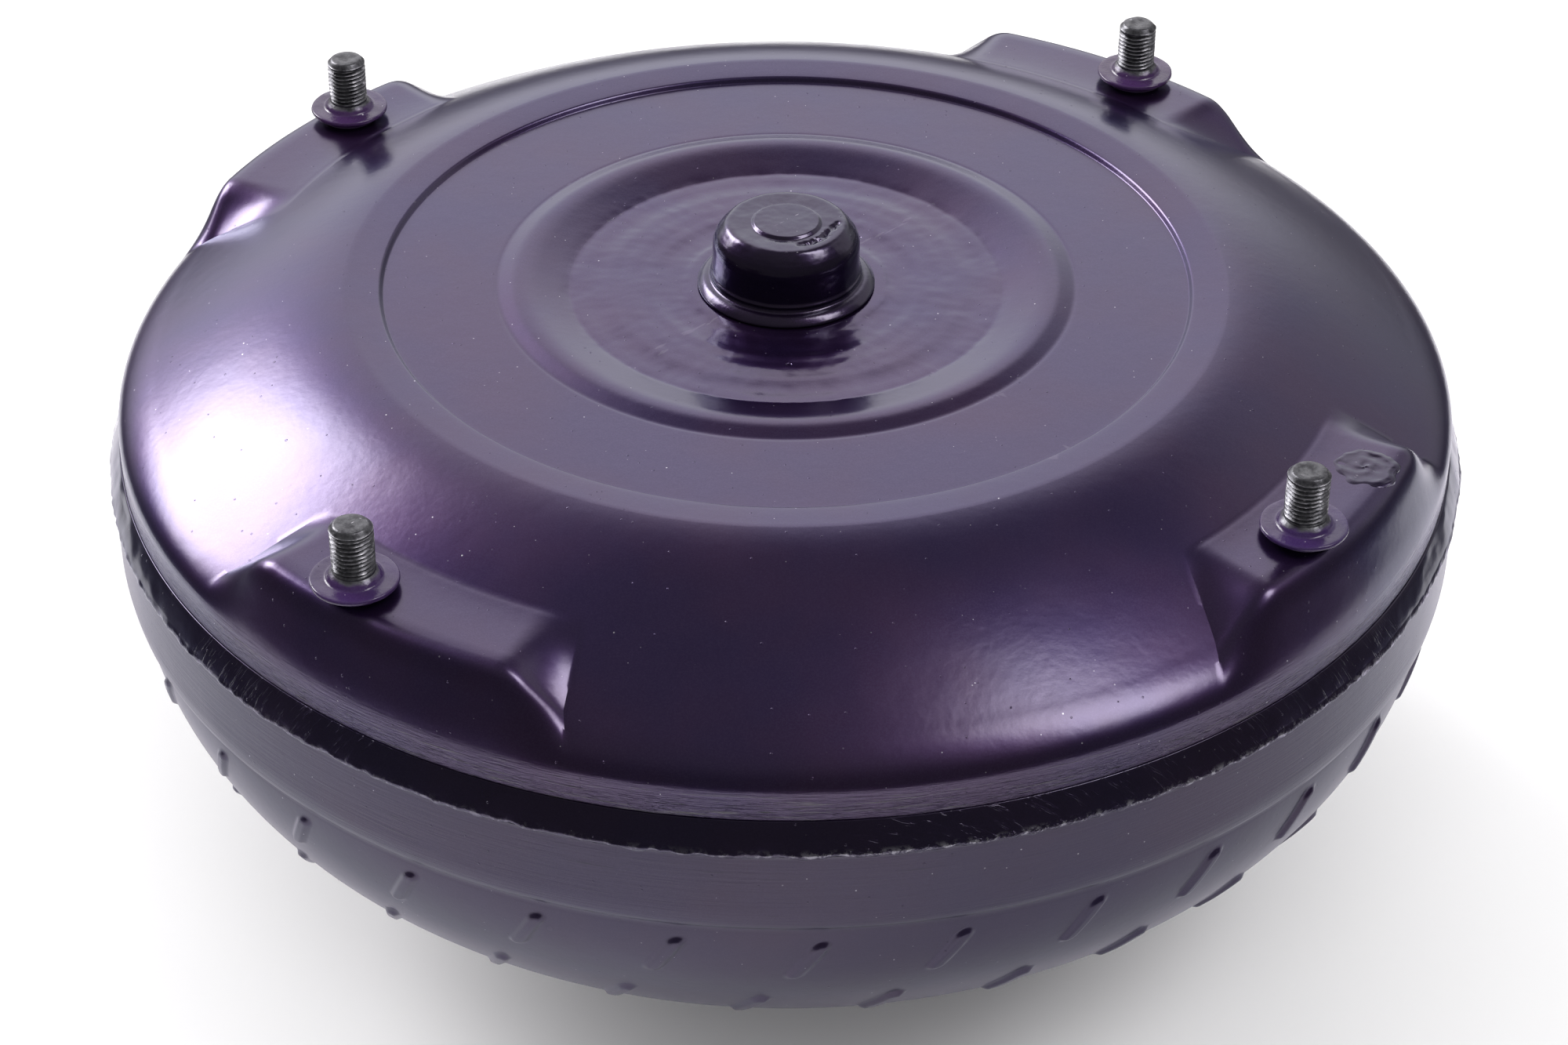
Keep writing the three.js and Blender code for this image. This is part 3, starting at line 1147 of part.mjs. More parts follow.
addPiece('turbine_shell', turbineShell(), 'sheet');
addPiece('turbine_blade_ring', turbineBladeRing(), 'sheet');
addPiece('turbine_hub', turbineHub(), 'forged');
addRepeated('turbine_rivet', turbineRivet(), TURBINE_RIVETS, 0, 'steel');

addPiece('driven_plate', drivenPlate(), 'forged');
addPiece('lockup_piston', lockupPiston(), 'sheet');
addPiece('friction_lining', frictionLining(), 'lining');
addPiece('piston_seal', pistonSeal(), 'seal');
addPiece('damper_plate_front', retainerPlate(DAMPER_Z + DAMPER_PLATE_OFFSET), 'sheet');
addPiece('damper_plate_rear', retainerPlate(DAMPER_REAR_Z), 'sheet');
addRepeated('damper_stop_pin', stopPin(), DAMPER_SPRINGS, stopPinAngle(), 'steel');
addRepeated('damper_spring', damperSpring(), DAMPER_SPRINGS, 0, 'spring');

addPiece('stator_wheel', statorWheel(), 'alloy');
addPiece('stator_inner_race', innerRace(), 'steel');
addPiece('clutch_cam', clutchCam(), 'forged');
addRepeated('clutch_roller', clutchRoller(), ROLLER_COUNT, 0, 'steel');
addRepeated('roller_spring', rollerSpring(), ROLLER_COUNT, 0, 'spring');
const rearCapBottom = STATOR_Z - ROLLER_LENGTH / 2 - 2 * GAP - END_CAP_THICKNESS;
addPiece('clutch_end_cap_rear', endCap(rearCapBottom), 'alloy');
addPiece('clutch_end_cap_front', endCap(STATOR_Z + ROLLER_LENGTH / 2 + 2 * GAP), 'alloy');
addPiece('clutch_snap_ring', snapRing(), 'spring');

addPiece('rear_thrust_bearing', thrustBearing(HUB_FACE_Z + GAP, REAR_BEARING_HEIGHT), 'steel');
addPiece('front_thrust_bearing', thrustBearing(RACE_TOP_Z + GAP, FRONT_BEARING_HEIGHT), 'steel');

export default group;
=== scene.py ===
import math

import bmesh
import bpy
import numpy as np
from mathutils import Matrix, Vector, noise


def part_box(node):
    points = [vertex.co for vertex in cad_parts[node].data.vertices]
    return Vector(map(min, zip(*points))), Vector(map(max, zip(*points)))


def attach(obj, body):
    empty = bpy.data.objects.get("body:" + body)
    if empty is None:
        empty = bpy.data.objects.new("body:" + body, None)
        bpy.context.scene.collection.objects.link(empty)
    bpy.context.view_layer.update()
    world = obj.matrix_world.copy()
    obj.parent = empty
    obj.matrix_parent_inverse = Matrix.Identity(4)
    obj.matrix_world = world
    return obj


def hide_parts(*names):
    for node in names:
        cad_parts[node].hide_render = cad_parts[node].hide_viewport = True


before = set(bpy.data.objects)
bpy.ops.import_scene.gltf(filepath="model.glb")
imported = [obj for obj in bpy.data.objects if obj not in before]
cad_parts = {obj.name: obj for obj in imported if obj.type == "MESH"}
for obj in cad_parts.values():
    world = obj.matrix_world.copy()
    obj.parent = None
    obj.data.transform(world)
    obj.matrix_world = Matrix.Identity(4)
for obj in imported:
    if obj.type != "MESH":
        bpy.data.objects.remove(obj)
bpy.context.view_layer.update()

# Torque converter: the visual model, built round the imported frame.
# Lengths are millimetres until a mesh is made, and angles are degrees round +Z.

MM = 0.001


def level(node, end):
    """Height in millimetres of the lowest (0) or highest (1) point of a CAD node."""
    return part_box(node)[end].z / MM


# ------------------------------------------------------------------ driving dimensions
STUD_CIRCLE = 145.26
STUD_ANGLES = [-38.97 + 90 * k for k in range(4)]
SKIRT = STUD_CIRCLE + 13.74
WALL = 5.0
BAND_TOP = level("impeller_shell", 1)
FACE = BAND_TOP + 41.5
FLOOR_LEVEL = FACE - 1.8
BOSS_TOP = FACE - 8.2
BOSS_OUTER = STUD_CIRCLE + 3.2
PILOT_TOP = level("crankshaft_pilot", 1)
PILOT_RADIUS = 17.46
STUD_TIP = level("flexplate_stud_1", 1)
THREAD_RADIUS = 4.76
THREAD_PITCH = 1.06
THREAD_DEPTH = 0.56
SEAT = STUD_TIP - 13.7
BAND = SKIRT + 2.5
MOUTH = BAND_TOP - 19.7
BOWL_BOTTOM = 39.5
BOWL_LOW_RADIUS = 97.0
NECK = 46.3
RECESS = 22.5
SHELL_WALL = 4.0
HUB_RADIUS = 23.81
HUB_BORE = 19.8
HUB_FACE = level("impeller_hub", 1)
LAP_RADIUS = SKIRT - 2.0


# ------------------------------------------------------------------ camera
CAMERA_TILT = 35.556
CAMERA_ROLL = 0.344
CAMERA_PLACE = (-0.146, -739.45, 617.30)
CAMERA_LENS = 84.11


def make_camera():
    """The photograph's view: from the front, 35.6 degrees above the floor."""
    tilt = math.radians(CAMERA_TILT)
    roll = math.radians(CAMERA_ROLL)
    forward = Vector((0, math.cos(tilt), -math.sin(tilt)))
    right = Vector((1, 0, 0))
    up = right.cross(forward)
    across = right * math.cos(roll) + up * math.sin(roll)
    above = up * math.cos(roll) - right * math.sin(roll)
    data = bpy.data.cameras.new("camera")
    data.lens = CAMERA_LENS
    data.sensor_width = 36
    data.clip_end = 50
    camera = bpy.data.objects.new("camera", data)
    bpy.context.scene.collection.objects.link(camera)
    turn = Matrix((across, above, -forward)).transposed().to_4x4()
    camera.matrix_world = Matrix.Translation(Vector(CAMERA_PLACE) * MM) @ turn
    bpy.context.scene.camera = camera


make_camera()


# ------------------------------------------------------------------ mesh helpers
def arc(start, control, end, steps):
    """A quadratic curve from start to end that leaves and arrives towards control."""
    t = np.linspace(0, 1, steps + 1)[:, None]
    start, control, end = np.array(start), np.array(control), np.array(end)
    return (1 - t) ** 2 * start + 2 * t * (1 - t) * control + t * t * end


def rounded(corners, steps=5):
    """A line of (radius, height) through corners, each (radius, height, rounding)."""
    points = [np.array(c[:2], float) for c in corners]
    line = [points[0]]
    for i in range(1, len(points) - 1):
        cut = corners[i][2]
        before, after = points[i - 1] - points[i], points[i + 1] - points[i]
        near = min(cut, 0.48 * np.linalg.norm(before))
        far = min(cut, 0.48 * np.linalg.norm(after))
        if cut == 0:
            line.append(points[i])
            continue
        a = points[i] + before / np.linalg.norm(before) * near
        b = points[i] + after / np.linalg.norm(after) * far
        line.extend(arc(a, points[i], b, steps))
    line.append(points[-1])
    return np.array(line)


def divided(line, longest):
    """The same line with its long stretches cut into equal steps."""
    out = [line[0]]
    for a, b in zip(line[:-1], line[1:]):
        pieces = max(1, math.ceil(np.linalg.norm(b - a) / longest))
        out.extend(a + (b - a) * k / pieces for k in range(1, pieces + 1))
    return np.array(out)


def sampled(line, count):
    """A line cut into count equal steps along its length."""
    along = np.r_[0, np.cumsum(np.linalg.norm(np.diff(line, axis=0), axis=1))]
    wanted = np.linspace(0, along[-1], count + 1)
    return np.stack([np.interp(wanted, along, line[:, k]) for k in (0, 1)], axis=1)


def ellipse(centre, half, start, end, steps):
    angle = np.radians(np.linspace(start, end, steps + 1))
    return np.stack(
        [centre[0] + half[0] * np.cos(angle), centre[1] + half[1] * np.sin(angle)], axis=1
    )


def revolved(line, angles):
    """A grid of points: each row is one point of the line turned to every angle."""
    turn = np.radians(np.broadcast_to(angles, (len(line), np.shape(angles)[-1])))
    r, z = line[:, 0][:, None], line[:, 1][:, None]
    return np.stack([r * np.cos(turn), r * np.sin(turn), z + 0 * turn], axis=2)


def wobble(points, size, seed=0.0):
    """Smooth noise from -1 to 1 at each point, with bumps about size millimetres across."""
    flat = points.reshape(-1, 3) / size + seed
    values = np.fromiter((noise.noise(Vector(p)) for p in flat), float, len(flat))
    return values.reshape(points.shape[:-1])


def solid(name, vertices, faces, crease=35):
    """A closed mesh in metres from points in millimetres, its faces turned outwards."""
    mesh = bpy.data.meshes.new(name)
    mesh.from_pydata(np.asarray(vertices) * MM, [], faces)
    mesh.validate()
    piece = bpy.data.objects.new(name, mesh)
    bpy.context.scene.collection.objects.link(piece)
    work = bmesh.new()
    work.from_mesh(mesh)
    if work.calc_volume(signed=True) < 0:
        bmesh.ops.reverse_faces(work, faces=work.faces)
    work.to_mesh(mesh)
    work.free()
    mesh.shade_smooth()
    mesh.set_sharp_from_angle(angle=math.radians(crease))
    return piece


def ring_solid(name, grid, crease=35):
    """A solid from a grid whose rows and columns both close on themselves."""
    rows, columns = grid.shape[:2]
    index = np.arange(rows * columns).reshape(rows, columns)
    below, beside = np.roll(index, -1, axis=0), np.roll(index, -1, axis=1)
    across = np.roll(below, -1, axis=1)
    faces = np.stack([index, beside, across, below], axis=2).reshape(-1, 4)
    return solid(name, grid.reshape(-1, 3), faces.tolist(), crease)


def capped_solid(name, grid, crease=35):
    """A solid from a grid whose columns close, with a point on the axis past each end row."""
    rows, columns = grid.shape[:2]
    index = np.arange(rows * columns).reshape(rows, columns)
    beside = np.roll(index, -1, axis=1)
    quads = np.stack([index[:-1], beside[:-1], beside[1:], index[1:]], axis=2)
    first, last = rows * columns, rows * columns + 1
    faces = quads.reshape(-1, 4).tolist()
    faces += [[first, int(b), int(a)] for a, b in zip(index[0], beside[0])]
    faces += [[last, int(a), int(b)] for a, b in zip(index[-1], beside[-1])]
    points = np.vstack([grid.reshape(-1, 3), grid[0].mean(0), grid[-1].mean(0)])
    return solid(name, points, faces, crease)


# ------------------------------------------------------------------ front cover
RAMP_COLUMNS = 24
BOSS_TOP_ENDS = (-7.3, 15.6)
BOSS_FOOT_INNER = (-10.4, 20.4)
BOSS_FOOT_DOME = (-13.2, 21.2)
BOSS_FOOT_RIM = (-15.5, 23.0)
SPIGOT_HOLE = 14.0
DOME_START = (104.0, FACE + 1.9)
DOME_END = (SKIRT - 9, FACE - 17.7)
CORNER_END = (SKIRT, FACE - 26.7)
SKIRT_FOOT = BAND_TOP + 0.6


def cover_face_line():
    """From the spigot hole out to the start of the dome: floor, ridge, clutch face, step."""
    return divided(rounded([
        (SPIGOT_HOLE, FLOOR_LEVEL + 0.5, 0),
        (23.0, FLOOR_LEVEL + 0.4, 1.6),
        (25.2, FLOOR_LEVEL, 1.4),
        (51.0, FLOOR_LEVEL, 0.7),
        (52.2, FLOOR_LEVEL + 0.35, 1.4),
        (61.0, FACE + 1.05, 2.6),
        (64.0, FACE + 1.15, 1.2),
        (68.3, FACE - 0.12, 0.8),
        (69.1, FACE, 0.5),
        (95.1, FACE, 0.3),
        (95.9, FACE + 1.25, 0.5),
        (99.0, FACE + 1.55, 2.0),
        (*DOME_START, 0),
    ]), 1.3)


def dome_line():
    """The plain dome between the clutch face's step and the skirt's corner."""
    return arc(DOME_START, (120, FACE + 0.2), DOME_END, 60)


def split_dome(radius):
    """The dome's line inside and outside a radius."""
    line = dome_line()
    height = np.interp(radius, line[:, 0], line[:, 1])
    middle = np.array([[radius, height]])
    inside = np.vstack([line[line[:, 0] < radius], middle])
    outside = np.vstack([middle, line[line[:, 0] > radius]])
    return inside, outside


def cover_lines():
    """Matching meridians of the plain dome and of a boss, and the boss ends at each row."""
    inside, outside = split_dome(131.5)
    shared = np.vstack([cover_face_line()[:-1], divided(inside, 1.2)])
    shallow = sampled(outside, 16)[1:]
    flat = sampled(np.array([inside[-1], (BOSS_OUTER, BOSS_TOP)]), 16)[1:]
    flat[:, 1] = BOSS_TOP + (flat[:, 1] - BOSS_TOP) * np.linspace(1, 0, 16) ** 2.3
    dome_corner = sampled(arc(DOME_END, (SKIRT, FACE - 22.7), CORNER_END, 30), 18)[1:]
    roll = rounded([
        (BOSS_OUTER, BOSS_TOP),
        (BOSS_OUTER + 5.0, BOSS_TOP - 0.5, 6.0),
        (SKIRT - 0.2, CORNER_END[1] + 1.5, 5.0),
        (SKIRT, CORNER_END[1] - 3, 0),
    ], 10)
    boss_corner = sampled(roll, 18)[1:]
    foot = (SKIRT, SKIRT_FOOT)
    dome_skirt = sampled(np.array([CORNER_END, foot]), 12)[1:]
    boss_skirt = sampled(np.array([boss_corner[-1], foot]), 12)[1:]
    dome = np.vstack([shared, shallow, dome_corner, dome_skirt])
    boss = np.vstack([shared, flat, boss_corner, boss_skirt])
    rows = len(shared)
    stops = [0, rows - 1, rows + 15, rows + 33, len(dome) - 1]
    ends = []
    for side in (0, 1):
        angles = [BOSS_FOOT_INNER[side], BOSS_FOOT_INNER[side], BOSS_FOOT_DOME[side]]
        angles += [BOSS_FOOT_RIM[side], BOSS_FOOT_RIM[side]]
        ends.append(np.interp(np.arange(len(dome)), stops, angles))
    return dome, boss, ends


def eased(share):
    """Straight for most of the way up a ramp, then rounded over at the top."""
    bend = 0.55
    scale = (1 + bend) / 2
    straight = share / scale
    top = 1 - (1 - share) ** 2 / (2 * scale * (1 - bend))
    return np.where(share < bend, straight, top)


def boss_columns(foot_left, foot_right):
    """Angles of one quarter's columns at a row, and how far each stands up the boss."""
    left = np.linspace(foot_left, BOSS_TOP_ENDS[0], RAMP_COLUMNS + 1)[:-1]
    top = np.linspace(*BOSS_TOP_ENDS, 61)
    right = np.linspace(BOSS_TOP_ENDS[1], foot_right, RAMP_COLUMNS + 1)[1:]
    plain = np.linspace(foot_right, foot_left + 90, 101)[1:-1]
    climb = eased(np.linspace(0, 1, RAMP_COLUMNS + 1))
    height = np.r_[climb[:-1], np.ones(61), climb[::-1][1:], np.zeros(99)]
    return np.r_[left, top, right, plain], height


def cover_grid():
    dome, boss, (left, right) = cover_lines()
    grid = []
    for row, (plain, raised) in enumerate(zip(dome, boss)):
        angles, height = boss_columns(left[row], right[row])
        share = np.tile(height, 4)
        turn = np.radians(np.concatenate([angles + start for start in STUD_ANGLES]))
        r = plain[0] + (raised[0] - plain[0]) * share
        z = plain[1] + (raised[1] - plain[1]) * share
        grid.append(np.stack([r * np.cos(turn), r * np.sin(turn), z], axis=1))
    return np.array(grid)


def underside(grid):
    """The inner skin: the outer one a wall thinner, as few rows as it needs."""
    rows = grid[-14::-5]
    radius = np.linalg.norm(rows[..., :2], axis=2)
    inner = rows.copy()
    inner[..., :2] *= (np.minimum(radius, SKIRT - WALL) / radius)[..., None]
    inner[..., 2] -= WALL
    return inner


def worked_floor(grid):
    """Turned rings, hand-ground dents and thick paint in the middle of the cover."""
    radius = np.linalg.norm(grid[..., :2], axis=2)
    inner = np.clip((54 - radius) / 4, 0, 1) * np.clip((radius - 22) / 2, 0, 1)
    rings = 0.06 * np.sin(radius * 1.05) * np.clip((radius - 26) / 6, 0, 1)
    rings += 0.15 * (np.tanh((radius - 31.5) / 0.8) - np.tanh((radius - 42.8) / 0.7))
    dents = 0.18 * wobble(grid * (1, 1, 0), 9.0) + 0.07 * wobble(grid * (1, 1, 0), 2.6, 7.0)
    face = 0.035 * wobble(grid * (1, 1, 0.4), 30.0, 3.0)
    grid[..., 2] += inner * (rings + dents) + face
    return grid


def front_cover():
    outer = cover_grid()
    outer = worked_floor(outer)
    angles = np.degrees(np.arctan2(outer[-1, :, 1], outer[-1, :, 0]))
    lap = revolved(np.array([
        (LAP_RADIUS, SKIRT_FOOT),
        (LAP_RADIUS, BAND_TOP - 13),
        (SKIRT - WALL - 0.5, BAND_TOP - 13),
        (SKIRT - WALL - 0.5, BAND_TOP),
        (SKIRT - WALL, BAND_TOP + 3),
    ]), angles)
    return ring_solid("cover_shell", np.vstack([outer, lap, underside(outer)]), 28)


# ------------------------------------------------------------------ pilot
# Chips along the front of the turned disc: angle, radius, size and depth.
PILOT_CHIPS = [(-2, 12.0, 1.0, 0.5), (-10, 11.2, 1.1, 0.6), (-19, 10.4, 1.1, 0.5),
               (-29, 10.2, 1.2, 0.55), (-40, 10.9, 1.5, 0.45), (-53, 10.6, 1.7, 0.5),
               (-66, 10.4, 1.5, 0.4)]


def pilot_piece():
    """The crankshaft pilot: rounded top with a turned disc, chipped paint, welded collar."""
    foot = FLOOR_LEVEL + 1.5
    collar = foot + 1.6
    top = PILOT_TOP - 0.4
    line = divided(rounded([
        (1.0, PILOT_TOP - 0.02, 0),
        (7.6, PILOT_TOP, 0.25),
        (8.3, top - 0.3, 0.3),
        (13.9, top, 1.0),
        (17.3, top - 3.6, 2.4),
        (PILOT_RADIUS, collar + 1.8, 0.3),
        (18.0, collar + 1.2, 0.3),
        (17.7, collar + 0.7, 0.3),
        (18.0, collar - 0.2, 0.6),
        (19.6, collar - 0.5, 1.2),
        (21.0, foot - 0.3, 0.8),
        (21.0, foot - 0.6, 0),
        (13.7, foot - 0.6, 0),
        (13.7, FLOOR_LEVEL - WALL, 0),
        (1.0, FLOOR_LEVEL - WALL, 0),
    ], 4), 0.5)
    grid = revolved(line, np.arange(0, 360, 2.0))
    radius = np.linalg.norm(grid[..., :2], axis=2)
    outward = grid * (1, 1, 0) / np.maximum(radius, 0.1)[..., None]
    shown = (grid[..., 2] > foot - 0.3)[..., None]
    swell = 0.10 * wobble(grid, 6.0, 2.0) + 0.05 * wobble(grid, 2.2, 9.0)
    grid += shown * outward * swell[..., None] * (radius > 8)[..., None]
    lift = 0.10 * wobble(grid, 4.0, 5.0) + 0.04 * wobble(grid, 1.4, 1.0)
    grid[..., 2] += shown[..., 0] * lift * (radius < 17)
    around = np.degrees(np.arctan2(grid[..., 1], grid[..., 0]))
    for angle, out, size, depth in PILOT_CHIPS:
        along = np.radians(around - angle) * out
        away = np.hypot((radius - out) * 1.5, along * 0.75) + 0.5 * wobble(grid, 1.3, 4.0)
        grid[..., 2] -= (grid[..., 2] > top - 2) * depth * np.clip((size - away) / 0.5, 0, 1)
    return capped_solid("pilot", grid, 40)


# ------------------------------------------------------------------ studs
def thread_grid(bottom, top):
    """A helical thread as rows of points, running out smoothly at both ends."""
    columns, rows_per_turn = 64, 9
    turn = np.linspace(0, 360, columns, endpoint=False)
    rows = round((top - bottom) / THREAD_PITCH * rows_per_turn)
    z = np.linspace(bottom, top, rows + 1)[:, None]
    phase = (z / THREAD_PITCH - turn[None, :] / 360) % 1
    groove = np.clip(1.25 * (1 - 2 * np.abs(phase - 0.5)) - 0.12, 0, 1)
    start = np.clip((z - bottom) / (0.8 * THREAD_PITCH), 0, 1)
    finish = np.clip((top - z) / (0.6 * THREAD_PITCH), 0, 1)
    radius = THREAD_RADIUS - THREAD_DEPTH * groove * (start * finish)
    angle = np.radians(turn)[None, :]
    return np.stack([radius * np.cos(angle), radius * np.sin(angle), z + 0 * angle], axis=2)


def stud_piece(number, angle):
    neck_foot = SEAT - 2.7
    flange_foot = SEAT - 1.2
    collar = SEAT + 1.3
    columns = np.linspace(0, 360, 64, endpoint=False)
    below = divided(rounded([
        (0.8, BOSS_TOP - WALL, 0),
        (4.4, BOSS_TOP - WALL, 0),
        (4.4, neck_foot, 0),
        (7.4, neck_foot - 0.25, 0.3),
        (6.4, neck_foot + 0.7, 0.6),
        (6.4, flange_foot, 0.2),
        (9.45, flange_foot - 0.05, 0.25),
        (9.75, flange_foot + 0.35, 0.3),
        (9.65, SEAT - 0.1, 0.35),
        (8.9, SEAT, 0.4),
        (6.3, SEAT - 0.05, 0.6),
        (5.7, SEAT + 0.9, 0.5),
        (5.3, collar, 0.3),
        (THREAD_RADIUS, collar + 0.5, 0.2),
    ], 4), 0.6)
    tip = divided(rounded([
        (4.62, STUD_TIP - 1.15, 0.2),
        (3.75, STUD_TIP - 0.1, 0.35),
        (2.6, STUD_TIP, 0.3),
        (1.6, STUD_TIP - 0.12, 0.3),
        (0.5, STUD_TIP - 0.15, 0),
    ], 4), 0.5)
    thread = thread_grid(collar + 0.6, STUD_TIP - 1.25)
    grid = np.vstack([revolved(below, columns), thread, revolved(tip, columns)])
    rough = wobble(grid, 1.6, number * 3.0) * 0.05 + wobble(grid, 5.0, number * 5.0) * 0.09
    radius = np.maximum(np.linalg.norm(grid[..., :2], axis=2), 0.1)
    grid += (grid * (1, 1, 0) / radius[..., None]) * rough[..., None]
    grid[..., 2] += 0.10 * wobble(grid, 3.5, number * 2.0) * (radius < 11)
    grid += (STUD_CIRCLE, 0, 0)
    turn = math.radians(angle)
    spin = np.array([[math.cos(turn), math.sin(turn), 0], [-math.sin(turn), math.cos(turn), 0],
                     [0, 0, 1]])
    return capped_solid(f"stud_{number}", grid @ spin, 38)


# ------------------------------------------------------------------ drain plug weld
def drain_weld_piece():
    """The plugged drain hole: a welded puddle with a wavy rim and a swirl in its middle."""
    turn = np.linspace(0, 360, 120, endpoint=False)
    share = np.r_[np.linspace(0.04, 1, 36), 1.06, 1.06, 0.7, 0.7, 0.05]
    height = np.r_[np.zeros(36), -0.5, -1.0, -1.0, -5.0, -5.0]
    angle = np.radians(turn)[None, :]
    rim = 7.4 + 0.35 * np.sin(5 * angle) + 0.25 * np.sin(9 * angle + 1) + 0.2 * np.sin(3 * angle)
    radius = share[:, None] * rim
    grid = np.stack([radius * np.cos(angle), radius * np.sin(angle),
                     height[:, None] + 0 * angle], axis=2)
    top = (np.arange(len(share)) < 36)[:, None]
    swirl = 0.09 * np.sin(1.9 * radius + 2 * angle) * np.exp(-radius / 3.0)
    patchy = 0.5 + 0.5 * np.sin(1.5 * angle + 0.6) * np.cos(angle - 0.4)
    edge = 0.11 * np.exp(-((share[:, None] - 0.84) / 0.10) ** 2) * patchy
    sunk = 0.20 * np.clip(share[:, None] * 5 - 4, 0, 1)
    grid[..., 2] += top * (0.12 + swirl + edge - sunk + 0.16 * wobble(grid, 2.4, 11.0))
    place = math.radians(STUD_ANGLES[0] + 12)
    grid += (STUD_CIRCLE * math.cos(place), STUD_CIRCLE * math.sin(place), BOSS_TOP)
    return capped_solid("drain_weld", grid, 40)


# ------------------------------------------------------------------ closure weld
def closure_weld_piece():
    """A machine-laid bead, smooth on its face and ragged along its lower edge."""
    line = divided(rounded([
        (SKIRT + 0.3, BAND_TOP + 0.2, 0),
        (SKIRT + 2.9, BAND_TOP + 0.2, 0),
        (SKIRT + 3.5, BAND_TOP + 0.9, 0.7),
        (SKIRT + 2.5, BAND_TOP + 3.6, 1.5),
        (SKIRT + 1.1, BAND_TOP + 6.4, 1.2),
        (SKIRT + 0.3, BAND_TOP + 7.8, 0.4),
        (SKIRT + 0.1, BAND_TOP + 7.8, 0),
    ]), 0.55)
    grid = revolved(line, np.linspace(0, 360, 1080, endpoint=False))
    radius = np.linalg.norm(grid[..., :2], axis=2)
    outward = grid * (1, 1, 0) / radius[..., None]
    height = (grid[..., 2] - BAND_TOP) / 7.8
    low = np.clip(1 - height / 0.32, 0, 1)
    free = np.clip((radius - SKIRT - 0.4) / 0.8, 0, 1)
    swell = 0.22 * wobble(grid, 14.0, 21.0) + 0.10 * wobble(grid, 4.0, 22.0)
    ragged = 0.50 * wobble(grid, 2.0, 23.0) + 0.45 * wobble(grid, 5.5, 24.0)
    grid += outward * (free * (swell + low * ragged))[..., None]
    grid[..., 2] += free * (low * (0.55 * wobble(grid, 3.2, 25.0) - 0.25)
                            + (1 - low) * 0.25 * wobble(grid * (1, 1, 0.2), 9.0, 26.0))
    return ring_solid("weld_bead", grid, 50)


# ------------------------------------------------------------------ impeller shell
RIB_COUNT = 32
RIB_PITCH = 360 / RIB_COUNT
RIB_LENGTH = 13.0
RIB_HEIGHT = 0.95
RIB_HALF_WIDTH = 2.0
RIB_LEAN = 0.2
RIB_ROWS = (MOUTH - 13.0, MOUTH - 34.5)
RIB_FIRST = -88.0
RIB_COLUMNS = np.r_[np.linspace(-3.2, 3.2, 17), np.linspace(5.0, 26.2, 9)]
RIB_COLUMN_SPAN = 26.2 + 3.2 + 1.6


def bowl_line():
    """The bowl's outside below the band: down to its lowest circle and back up to the hub."""
    half = (SKIRT - BOWL_LOW_RADIUS, MOUTH - BOWL_BOTTOM)
    bowl = ellipse((BOWL_LOW_RADIUS, MOUTH), half, -2.6, -90, 600)
    recess = (BOWL_LOW_RADIUS - NECK, RECESS)
    back = ellipse((BOWL_LOW_RADIUS, BOWL_BOTTOM + RECESS), recess, -90, -180, 200)
    return np.vstack([bowl, back[1:]])


def rows_between(line, top, bottom, step):
    """Points of a falling line between two heights, step apart."""
    part = line[(line[:, 1] <= top) & (line[:, 1] >= bottom)]
    length = np.linalg.norm(np.diff(part, axis=0), axis=1).sum()
    return sampled(part, math.ceil(length / step))


def impeller_outline():
    bowl = bowl_line()
    falling = bowl[: np.argmin(bowl[:, 1]) + 1]
    rising = bowl[np.argmin(bowl[:, 1]):]
    band = divided(rounded([
        (BAND, BAND_TOP, 0),
        (BAND, MOUTH + 3.2, 1.5),
        (BAND - 0.7, MOUTH - 0.9, 1.6),
        (SKIRT + 0.25, MOUTH - 1.9, 0.9),
        (SKIRT - 0.15, MOUTH - 3.6, 0.9),
    ]), 1.2)
    ribbed = rows_between(falling, band[-1][1] - 0.4, BOWL_BOTTOM + 15, 0.55)
    plain = sampled(falling[falling[:, 1] < BOWL_BOTTOM + 15], 36)
    return np.vstack([band, ribbed, plain, sampled(rising, 30)[1:]])


def impeller_inner_line():
    low = (BOWL_LOW_RADIUS, BOWL_BOTTOM + RECESS + SHELL_WALL)
    half = (BOWL_LOW_RADIUS - NECK - SHELL_WALL, RECESS)
    back = ellipse(low, half, -180, -90, 8)
    mouth = (BOWL_LOW_RADIUS, MOUTH)
    bowl = ellipse(mouth, (SKIRT - BOWL_LOW_RADIUS - SHELL_WALL, MOUTH - BOWL_BOTTOM - SHELL_WALL),
                   -90, 0, 14)
    return np.vstack([
        [(NECK, BOWL_BOTTOM + RECESS + SHELL_WALL)], back, bowl[1:],
        [(SKIRT - SHELL_WALL, BAND_TOP - 13.3), (LAP_RADIUS + 0.3, BAND_TOP - 13.3),
         (LAP_RADIUS + 0.3, BAND_TOP)],
    ])


def rib_height(along, across):
    """Height of a pressed rib at a point, both distances measured from the rib's middle."""
    half = RIB_LENGTH / 2 - RIB_HALF_WIDTH
    past = np.maximum(np.abs(along) - half, 0)
    away = np.hypot(past, across)
    share = np.clip((RIB_HALF_WIDTH + 0.5 - away) / 1.7, 0, 1)
    return RIB_HEIGHT * share * share * (3 - 2 * share)


